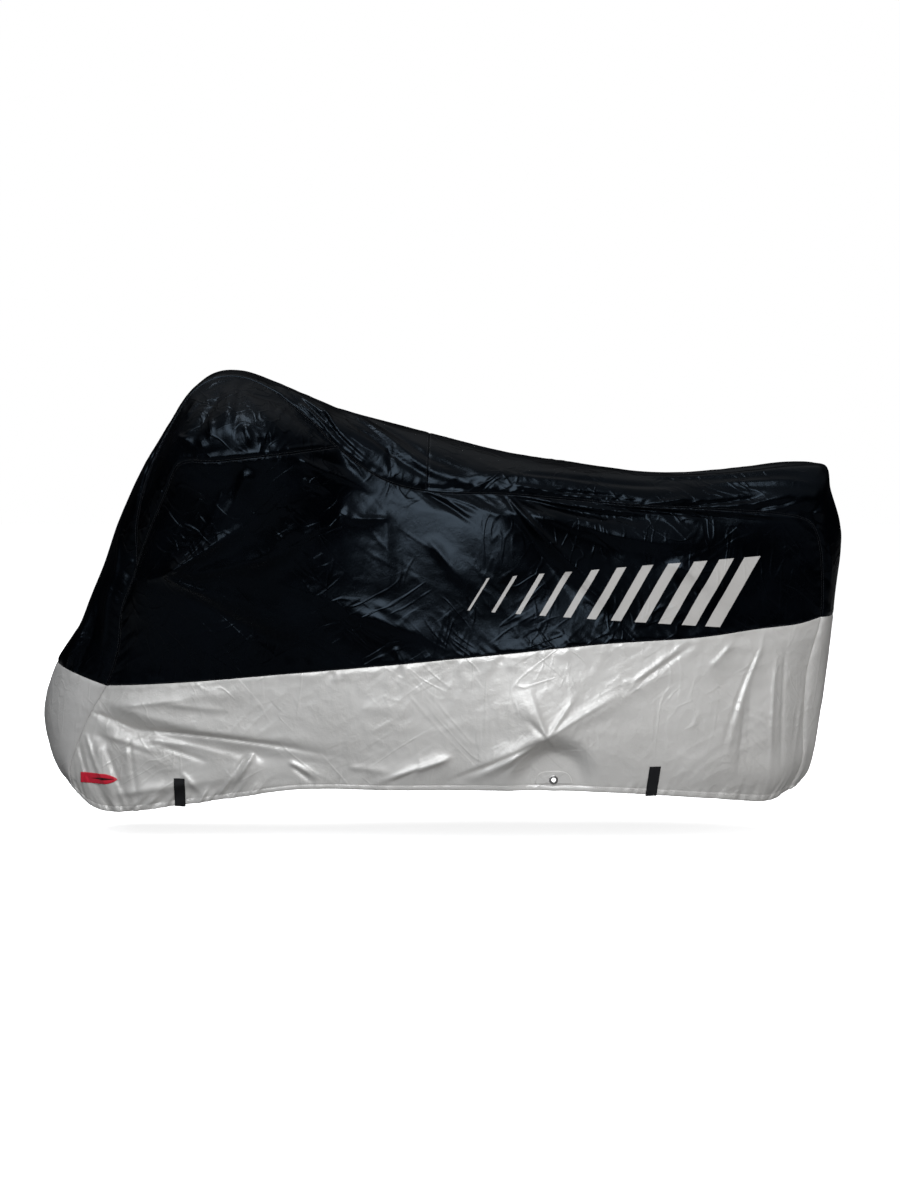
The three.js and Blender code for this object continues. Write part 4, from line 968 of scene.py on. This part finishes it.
lowerSide = {
    "cell": {-1: (0.0042, 0.0042), 1: (0.0062, 0.0066)}, "length": 1.95, "height": 0.31,
    "kind": "lower", "seeds": {-1: 180, 1: 220},
    # radius of the hole for the eyelet, and of the mesh that is moved for it, in millimetres
    "hole": 5.6, "around": 32,
}


# Moves the mesh so that one cell lies round the eyelet's middle and opens into its hole.
def openEyelet(points, spec):
    middle = np.array([flatSpot["x"] * mm, flatSpot["height"] * mm - supportHeight])
    flat = points[..., [0, 2]]
    centres = (flat[:-1, :-1] + flat[1:, 1:] + flat[1:, :-1] + flat[:-1, 1:]) / 4
    away = np.linalg.norm(centres - middle, axis=2)
    i, j = np.unravel_index(np.argmin(away), away.shape)
    near = 1 - smooth(np.linalg.norm(flat - middle, axis=2) / (spec["around"] * mm) - 0.2)
    flat = flat + (middle - centres[i, j]) * near[..., None]
    arm = flat - middle
    reach = np.linalg.norm(arm, axis=2, keepdims=True)
    hole, around = spec["hole"] * mm, spec["around"] * mm
    wider = np.where(reach < around, hole + reach * (1 - hole / around), reach)
    points[..., [0, 2]] = middle + arm / np.maximum(reach, 1e-9) * wider
    keep = np.ones(away.shape, bool)
    keep[i, j] = False
    return keep


# Extra thickness along a hem, from the edge inwards, with a dip where it is sewn.
def hemThickness(shape, edge):
    extra = np.zeros(shape)
    for k, share in enumerate(cloth["hemFold"]):
        if edge == "low":
            extra[:, k] = share * mm
        else:
            extra[k if edge == "front" else -1 - k] = share * mm
    return extra


def makeLowerSide(side, word):
    spec = lowerSide
    cellX, cellZ = spec["cell"][side]
    u = stopShares(spec["length"], cellX, cloth["seamStops"], cloth["seamStops"])
    v = stopShares(spec["height"], cellZ, cloth["hemStops"], cloth["seamStops"])
    front = readCurve(seam, evenRows(rowOf["nose hem"], rowOf["nose band"], v))
    rear = readCurve(seam, evenRows(rowOf["tail hem"], rowOf["tail band"], v))
    points = sidePatch(atShares(hem, u), atShares(bandLine, u), front, rear, u, v)
    sizes = measureGrid(points)
    shapeSide(points, side, sizes, ("high", "front", "rear"), lowerGathers, spec)
    keep = openEyelet(points, spec)
    extra = hemThickness(points.shape[:2], "low")
    return finishPanel(f"lowerSide_{word}", points, sizes, extra, materials["silver"], side > 0, keep)


strip = {
    "cell": 0.0058, "seed": 260, "seedStep": 20,
    # the right half's creases: further back by this share of a section, and lower
    "mirrorShift": 0.35, "mirrorShare": 0.8,
    # the distance from the seams over which each relief rises or ends, in millimetres
    "foldFade": 60, "creaseFade": 12, "seamReach": 90, "cornerFade": 20,
}
strips = [
    # name, node, first and last section, material, the end that is a hem
    ("noseLower", "nose_lower", "nose hem", "nose band", "nose", "front"),
    ("stripFront", "strip_front", "nose band", "cross seam", "black", None),
    ("stripRear", "strip_rear", "cross seam", "tail band", "black", None),
    ("tailLower", "tail_lower", "tail band", "tail hem", "silver", "rear"),
]


def makeStrip(name, node, first, last, material, hemEnd):
    start, end = rowOf[first], rowOf[last]
    low, high = np.interp([start, end], seam["rows"], seam["lengths"])
    stops = [cloth["hemStops"] if hemEnd == edge else cloth["seamStops"] for edge in ("front", "rear")]
    number = evenRows(start, end, stopShares(high - low, strip["cell"], *stops))[:, None]
    across = stopShares(0.5, strip["cell"], cloth["seamStops"], cloth["seamStops"])[None] * 2 - 1
    top, edge = readCurve(ridge, number[:, 0])[:, None], readCurve(seam, number[:, 0])[:, None]
    angle = across[..., None] * math.pi / 2
    points = mix(edge, top, np.cos(angle))
    points[..., 1] = edge[..., 1] * np.sin(angle[..., 0])
    upward = (top - edge) * (1, 0, 1)
    upward = upward / np.linalg.norm(upward, axis=2, keepdims=True)
    out = upward * np.cos(angle) + np.array([0, 1, 0]) * np.sin(angle)
    sizes = measureGrid(points)
    x, z, half = points[..., 0].copy(), points[..., 2].copy(), edge[..., 1] / mm
    sides = np.minimum(sizes["low"][0], sizes["high"][0])
    ends = np.full_like(x, np.inf)
    for place in ("front", "rear"):
        if hemEnd != place:
            ends = np.minimum(ends, sizes[place][0])
    relief = stripHeight(number, across, half, stripFolds) * smooth(sides / strip["foldFade"])
    creases = stripHeight(number, across, half, stripCreases)
    mirrored = stripHeight(number + strip["mirrorShift"], -across, half, stripCreases)
    creases += mirrored * strip["mirrorShare"]
    relief += creases * smooth(sides / strip["creaseFade"])
    wrinkles = crinkle(sizes["u"], sizes["v"], strip["seed"] + strip["seedStep"] * start, "strip")
    wrinkles = wrinkles + edgeWrinkles(sizes, stripGathers[node])
    relief += wrinkles * smooth(np.minimum(sides, ends) / strip["creaseFade"])
    dip = np.exp(-(ends / cloth["dipWidth"]) ** 2)
    relief -= cloth["seamDip"] * dip * smooth(sides / strip["cornerFade"])
    points += out * (relief * mm)[..., None]
    for side in (-1, 1):
        here = (across * side > 0) * seamShape(x, z, side, sides)
        here = here * smooth(1 - sides / strip["seamReach"])
        points[..., 1] += here * side * mm
    extra = hemThickness(points.shape[:2], hemEnd) if hemEnd else np.zeros(points.shape[:2])
    return finishPanel(name, points, sizes, extra, materials[material])


gusset = {
    "cell": 0.0055, "length": 1.0, "drop": 0.20, "tipStops": (0.002, 0.005), "seeds": {-1: 300, 1: 340},
    # the direction in which it bulges, how far as a share of its drop, and how low the bulge lies
    "direction": (-0.15, 0.75, 0.55), "bulge": 0.17, "skew": 1.45,
    # the roll of cloth above its lower seam, in millimetres
    "roll": 3.5, "rollPlace": 8, "rollWidth": 6,
    # the distance from the seams over which each relief rises, in millimetres
    "foldFade": 25, "wrinkleFade": 12, "edgeFade": 5,
}


def makeGusset(side, word):
    u = stopShares(gusset["length"], gusset["cell"], gusset["tipStops"], gusset["tipStops"])
    v = stopShares(gusset["drop"], gusset["cell"], cloth["seamStops"], cloth["seamStops"])
    upper = readCurve(seam, evenRows(rowOf["gusset front"], rowOf["gusset rear"], u))[:, None]
    drop = atShares(gussetLine, u)[:, None] - upper
    share = 1 - v[None, :, None]
    out = np.array(gusset["direction"]) / np.linalg.norm(gusset["direction"])
    size = np.linalg.norm(drop, axis=2, keepdims=True)
    bulge = gusset["bulge"] * size * np.sin(math.pi * share ** gusset["skew"])
    points = upper + drop * share + out * bulge
    sizes = measureGrid(points)
    x, z = points[..., 0].copy(), points[..., 2].copy()
    depth = np.minimum(sizes["low"][0], sizes["high"][0])
    shifted = x / mm - farSide["shift"] * (side > 0) * farSide["gussetShift"]
    relief = allFolds(shifted, (z + supportHeight) / mm, gussetFolds) * smooth(depth / gusset["foldFade"])
    wrinkles = crinkle(x, z, gusset["seeds"][side], "gusset") + edgeWrinkles(sizes, gussetGathers)
    relief += wrinkles * smooth(depth / gusset["wrinkleFade"])
    roll = np.exp(-((sizes["low"][0] - gusset["rollPlace"]) / gusset["rollWidth"]) ** 2)
    relief += gusset["roll"] * roll * smooth(size[..., 0] * 8)
    points = points + out * (relief * mm * smooth(depth / gusset["edgeFade"]))[..., None]
    points[..., 1] += seamShape(x, z, side, depth) * mm
    points[..., 1] *= side
    extra = np.zeros(points.shape[:2])
    return finishPanel(f"gussetCloth_{word}", points, sizes, extra, materials["black"], side > 0)


panels = {}
for side, word in ((-1, "left"), (1, "right")):
    panels[f"side_upper_{word}"] = makeUpperSide(side, word)
    panels[f"side_lower_{word}"] = makeLowerSide(side, word)
    panels[f"gusset_{word}"] = makeGusset(side, word)
print("sides and gussets")
for name, node, first, last, material, hemEnd in strips:
    panels[node] = makeStrip(name, node, first, last, material, hemEnd)
print("middle strip")

# Trim on the outside of a lower side panel, in millimetres.
trim = {"thickness": 1.5, "gap": 0.3, "cell": 3.0, "edge": ((0, 0.6), (0.35, 0.92), (0.9, 1.0))}
straps = [
    # name, node, x, bottom, top, lean, width
    ("frontStrap", "strap_front", -1157, 94, 167, 0, 28),
    ("rearStrap", "strap_rear", 10, 134, 208, -10, 28),
]
marker = {
    "x": -1365, "height": 158, "length": 98, "width": 26, "point": 34,
    # the slot's depth and half its width, in millimetres, and how often the marker is smoothed
    "groove": 0.9, "grooveHalf": 1.6, "passes": 60, "cell": 0.0022,
}
eyelet = {
    "barrel": 6.7, "sides": 48, "play": 0.1,
    # distance from the middle, and thickness over the face it is pressed on
    "flange": ((10.6, 0), (11, 0.25), (10.7, 0.65), (9.5, 1.05), (7.8, 1.2), (6.3, 1.1), (5.5, 0.6)),
}
patch = {
    # the arch's curve has its handles at these shares of half the width; the mesh is finer at its rims
    "width": 92, "bottom": 167.5, "top": 199, "hole": 7.1, "bulge": 0.9, "crown": 0.5, "rim": 0.9,
    "cell": 0.14, "nearHole": (0.03,), "nearRim": (0.03, 0.06), "archSteps": 32, "baseSteps": 30,
}


# How far out the cloth of a lower side panel lies at places on it.
def clothReach(panel, side, x, z):
    edge = panel["outer"][:, 0]
    reach = np.interp(x, edge[:, 0], edge[:, 1] * side)
    for place in np.ndindex(x.shape):
        hit = panel["tree"].ray_cast(Vector((x[place], side, z[place])), Vector((0, -side, 0)))[0]
        if hit:
            reach[place] = hit.y * side
    return reach


# Webbing bridges what is finer than itself, and never dips into the cloth.
def settle(reach, passes):
    calm = reach
    for _ in range(passes):
        wide = np.pad(calm, 1, mode="edge")
        calm = (wide[:-2, 1:-1] + wide[2:, 1:-1] + wide[1:-1, :-2] + wide[1:-1, 2:]) / 4
    return np.maximum(calm, reach)


# How far a piece of trim rises at a distance from its edge, in metres. Its edges are rounded.
def trimRise(depth):
    stops = np.array(trim["edge"])
    return np.interp(depth, stops[:, 0], stops[:, 1]) * trim["thickness"] * mm


def trimStops():
    return [stop * mm for stop, rise in trim["edge"][1:]]


def trimFaces(side, x, z, reach, rise):
    return np.stack([x, (reach + rise) * side, z], -1), np.stack([x, reach * side, z], -1)


def trimPiece(name, panel, side, x, z, along, across, depth, material, groove=0, passes=8):
    reach = settle(clothReach(panel, side, x, z), passes) + trim["gap"] * mm
    outer, inner = trimFaces(side, x, z, reach, trimRise(depth) - groove * mm)
    uv = np.stack([along, across], -1) * mm
    return sheetPiece(name, outer, inner, uv, material, turned=side < 0)


def makeStrap(name, panel, side, x, bottom, top, lean, width):
    stops = trimStops()
    along = stopShares((top - bottom) * mm, trim["cell"] * mm, stops, stops)[:, None] * (top - bottom)
    across = (stopShares(width * mm, trim["cell"] * mm, stops, stops)[None] - 0.5) * width
    along, across = np.broadcast_arrays(along, across)
    placeX = (x + across - lean * along / (top - bottom)) * mm
    depth = np.minimum(width / 2 - np.abs(across), np.minimum(along, top - bottom - along))
    return trimPiece(name, panel, side, placeX, (bottom + along) * mm - supportHeight, along, across, depth,
                     materials["webbing"])


# The marker is straight in front and pointed at its rear end.
def makeMarker(name, panel, side):
    length, half, point = marker["length"], marker["width"] / 2, marker["point"]
    stops = trimStops()
    along = stopShares(length * mm, trim["cell"] * mm, stops, stops)[:, None] * length
    across = stopShares(half * 2 * mm, marker["cell"], stops, stops)[None] * 2 - 1
    t = np.linspace(0, 1, 50)
    curveX = length - point * (1 - t) ** 2 - point / 3 * 2 * t * (1 - t)
    curveHalf = half * ((1 - t) ** 2 + 0.8 * 2 * t * (1 - t))
    tall = np.where(along < length - point, half, np.interp(along, curveX, curveHalf))
    depth = np.minimum((1 - np.abs(across)) * tall, np.minimum(along, length - along))
    placeX = (marker["x"] - length / 2 + along + across * 0) * mm
    placeZ = (marker["height"] + across * tall) * mm - supportHeight
    slit = np.clip(1 - np.abs(along * mm - markerSlot["middle"]) / markerSlot["half"], 0, 1)
    slit = slit * np.exp(-(across * tall / marker["grooveHalf"]) ** 2)
    along, across = np.broadcast_arrays(along, across * tall)
    return trimPiece(name, panel, side, placeX, placeZ, along, across, depth, materials["red"],
                     marker["groove"] * slit, marker["passes"])


# The eyelet's patch is an arch with a straight bottom. Its mesh runs from the hole outwards.
def makePatch(name, side):
    half = patch["width"] / 2
    t = np.linspace(0, 1, patch["archSteps"] + 1)[:-1, None]
    rise = patch["top"] - patch["bottom"]
    knots = np.array([(half, 0), (half * patch["bulge"], rise), (half * patch["crown"], rise), (0, rise)])
    weights = ((1 - t) ** 3, 3 * t * (1 - t) ** 2, 3 * t ** 2 * (1 - t), t ** 3)
    rear = sum(weight * knot for weight, knot in zip(weights, knots))
    front = np.vstack([rear[1:], knots[3:]])[::-1] * (-1, 1)
    base = np.linspace(-half, half, patch["baseSteps"] + 1)
    bottom = np.stack([base, np.zeros_like(base)], 1)
    outline = np.vstack([rear, front, bottom]) + (0, patch["bottom"] - flatSpot["height"])
    size = np.linalg.norm(outline, axis=1, keepdims=True)
    hole = outline / size * patch["hole"]
    room = (size - patch["hole"])[:, 0]
    share = stopShares(1.0, patch["cell"], patch["nearHole"], patch["nearRim"])
    flat = mix(hole[:, None], outline[:, None], share[None, :, None])
    reach = np.full(flat.shape[:2], (flatSpot["half"] + trim["gap"]) * mm)
    depth = np.minimum(share[None] * room[:, None] + patch["rim"], (1 - share)[None] * room[:, None])
    x, z = (flat[..., 0] + flatSpot["x"]) * mm, (flat[..., 1] + flatSpot["height"]) * mm - supportHeight
    outer, inner = trimFaces(side, x, z, reach, trimRise(depth))
    return sheetPiece(name, outer, inner, flat * mm, materials["silver"], turned=side > 0, wrapped=True)


def makeEyelet(name, side):
    face = trim["gap"] + trim["thickness"]
    flange = np.array(eyelet["flange"])
    front = flange + (0, face)
    back = flange[::-1] * (1, -1) - (0, cloth["thickness"] / mm + eyelet["play"])
    ends = [(eyelet["barrel"], back[-1, 1]), (eyelet["barrel"], face)]
    profile = np.vstack([front, back, ends]) * mm
    count, sides = len(profile), eyelet["sides"]
    turns = np.linspace(0, 2 * math.pi, sides, endpoint=False)[:, None]
    x = flatSpot["x"] * mm + profile[None, :, 0] * np.cos(turns)
    z = flatSpot["height"] * mm - supportHeight + profile[None, :, 0] * np.sin(turns)
    y = (flatSpot["half"] * mm + profile[None, :, 1] + turns * 0) * side
    points = np.stack([x, y, z], -1).reshape(-1, 3)
    index = np.arange(sides * count).reshape(sides, count)
    nextTurn, nextPoint = np.roll(index, -1, 0), np.roll(index, -1, 1)
    faces = np.stack([index, nextTurn, np.roll(nextTurn, -1, 1), nextPoint], -1).reshape(-1, 4)
    mesh = bpy.data.meshes.new(name)
    mesh.from_pydata(points.tolist(), [], (faces if side > 0 else faces[:, ::-1]).tolist())
    mesh.polygons.foreach_set("use_smooth", np.ones(len(mesh.polygons), bool))
    mesh.materials.append(materials["metal"])
    return addObject(name, mesh)


# The threads: name, pitch in millimetres, material, slot, and their rows as panel, edge and distance
# from it in millimetres.
threads = [
    ("dark", 4.2, "darkThread", "black_cloth", [
        ("side_upper", "low", 3), ("side_upper", "high", 3), ("side_upper", "front", 3),
        ("side_upper", "rear", 3), ("gusset", "low", 3), ("gusset", "high", 3), ("strip_front", "low", 3),
        ("strip_front", "high", 3), ("strip_front", "rear", 4), ("strip_rear", "low", 3),
        ("strip_rear", "high", 3), ("strip_rear", "front", 4),
    ]),
    ("pale", 5.0, "paleThread", "silver_cloth", [
        ("side_lower", "low", 12), ("side_lower", "front", 3), ("side_lower", "rear", 3),
        ("nose_lower", "front", 12), ("tail_lower", "rear", 12),
    ]),
]
# A stitch, in millimetres. A row is looked for in this many rows of the mesh from the edge.
stitch = {"length": 2.9, "radius": 0.36, "lift": 0.05, "sides": 6, "rows": 14}


# The points of a panel that lie at one distance from an edge, with the cloth's outward direction.
def rowAt(panel, edge, inset):
    points, normals = panel["outer"], panel["normals"]
    if edge in ("front", "rear"):
        points, normals = points.swapaxes(0, 1), normals.swapaxes(0, 1)
    if edge in ("high", "rear"):
        points, normals = points[:, ::-1], normals[:, ::-1]
    steps = np.linalg.norm(np.diff(points[:, :stitch["rows"]], axis=1), axis=2) / mm
    lengths = np.concatenate([np.zeros((len(points), 1)), np.cumsum(steps, axis=1)], 1)
    places = [np.interp(inset, line, range(stitch["rows"])) for line in lengths]
    low = np.minimum(np.array(places).astype(int), stitch["rows"] - 2)
    part = (np.array(places) - low)[:, None]
    lines = np.arange(len(points))
    found = mix(points[lines, low], points[lines, low + 1], part)
    return (found + mix(normals[lines, low], normals[lines, low + 1], part) * stitch["lift"] * mm)[2:-2]


def buildStitchTree():
    tree = bpy.data.node_groups.new("stitchRows", "GeometryNodeTree")
    number = "NodeSocketFloat"
    sockets = [("Rows", "NodeSocketGeometry"), ("Pitch", number), ("Length", number), ("Radius", number),
               ("Thread", "NodeSocketMaterial")]
    found = {}
    for label, kind in sockets:
        found[label] = tree.interface.new_socket(label, in_out="INPUT", socket_type=kind).identifier
    tree.interface.new_socket("Stitches", in_out="OUTPUT", socket_type="NodeSocketGeometry")
    start, end = tree.nodes.new("NodeGroupInput"), tree.nodes.new("NodeGroupOutput")
    given = start.outputs
    curve = addNode(tree, "GeometryNodeMeshToCurve", {"Mesh": given["Rows"]})
    inputs = {"Curve": curve.outputs[0], "Length": given["Pitch"]}
    points = addNode(tree, "GeometryNodeCurveToPoints", inputs, mode="LENGTH")
    inputs = {"Vertices": stitch["sides"], "Radius": given["Radius"], "Depth": given["Length"]}
    shape = addNode(tree, "GeometryNodeMeshCylinder", inputs)
    inputs = {"Points": points.outputs["Points"], "Instance": shape.outputs["Mesh"],
              "Rotation": points.outputs["Rotation"]}
    placed = addNode(tree, "GeometryNodeInstanceOnPoints", inputs)
    real = addNode(tree, "GeometryNodeRealizeInstances", {"Geometry": placed.outputs[0]})
    inputs = {"Geometry": real.outputs[0], "Material": given["Thread"]}
    tree.links.new(addNode(tree, "GeometryNodeSetMaterial", inputs).outputs[0], end.inputs[0])
    return tree, found


def makeStitches(name, chains, pitch, thread):
    points = np.concatenate(chains)
    edges, first = [], 0
    for chain in chains:
        edges += [(k, k + 1) for k in range(first, first + len(chain) - 1)]
        first += len(chain)
    mesh = bpy.data.meshes.new(name + "Rows")
    mesh.from_pydata(points.tolist(), edges, [])
    rows = addObject(name + "Rows", mesh)
    layout = rows.modifiers.new("stitches", "NODES")
    layout.node_group = stitchTree
    values = {"Pitch": pitch * mm, "Length": stitch["length"] * mm, "Radius": stitch["radius"] * mm,
              "Thread": thread}
    for label, value in values.items():
        layout[stitchInputs[label]] = value
    evaluated = rows.evaluated_get(bpy.context.evaluated_depsgraph_get())
    plain = bpy.data.meshes.new_from_object(evaluated)
    rows.modifiers.remove(layout)
    bpy.data.objects.remove(rows)
    plain.polygons.foreach_set("use_smooth", np.ones(len(plain.polygons), bool))
    piece = addObject(name, plain)
    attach(piece, "root")
    print("%s: %d faces" % (name, len(plain.polygons)))


stitchTree, stitchInputs = buildStitchTree()
for name, pitch, material, slot, rows in threads:
    chains = []
    for node, edge, inset in rows:
        for key in (node, node + "_left", node + "_right"):
            if key in panels:
                chains.append(rowAt(panels[key], edge, inset))
    makeStitches(name + "Stitches", chains, pitch, materials[material])
print("stitches")

trimSizes = {
    # flat cut and flat area in metres
    "webbing": ((0.074, 0.028), 0.00207), "marker": ((0.098, 0.026), 0.0023),
    "patch": ((0.092, 0.032), 0.0024),
}
for side, word in ((-1, "left"), (1, "right")):
    panel = panels[f"side_lower_{word}"]
    countU, countV = panel["outer"].shape[:2]
    index = np.arange(countU * countV).reshape(countU, countV)
    cells = np.stack([index[:-1, :-1], index[1:, :-1], index[1:, 1:], index[:-1, 1:]], -1).reshape(-1, 4)
    panel["tree"] = BVHTree.FromPolygons(panel["outer"].reshape(-1, 3).tolist(), cells.tolist())
    for name, node, *row in straps:
        piece = makeStrap(f"{name}_{word}", panel, side, *row)
        declare(piece, f"{node}_{word}", "webbing", *trimSizes["webbing"], [])
    piece = makeMarker(f"redMarker_{word}", panel, side)
    declare(piece, f"marker_{word}", "red_marker", *trimSizes["marker"], [])
    piece = makePatch(f"eyeletPatch_{word}", side)
    declare(piece, f"eyelet_patch_{word}", "silver_cloth", *trimSizes["patch"], [])
    piece = makeEyelet(f"eyeletRing_{word}", side)
    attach(piece, "root")
    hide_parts(f"eyelet_{word}")
print("straps, markers and eyelets")

clothSizes = {
    # slot, flat cut and flat area in metres
    "side_upper": ("black_cloth", (1.97, 0.557), 0.78),
    "side_lower": ("silver_cloth", (1.94, 0.454), 0.68),
    "gusset": ("black_cloth", (0.905, 0.298), 0.125),
    "nose_lower": ("silver_cloth", (0.456, 0.319), 0.108),
    "strip_front": ("black_cloth", (1.475, 0.575), 0.61),
    "strip_rear": ("black_cloth", (1.40, 0.562), 0.58),
    "tail_lower": ("silver_cloth", (0.454, 0.316), 0.132),
}
for node, panel in panels.items():
    slot, flat, area = clothSizes[node.removesuffix("_left").removesuffix("_right")]
    declare(panel["piece"], node, slot, flat, area, [])
print("cloth declared")
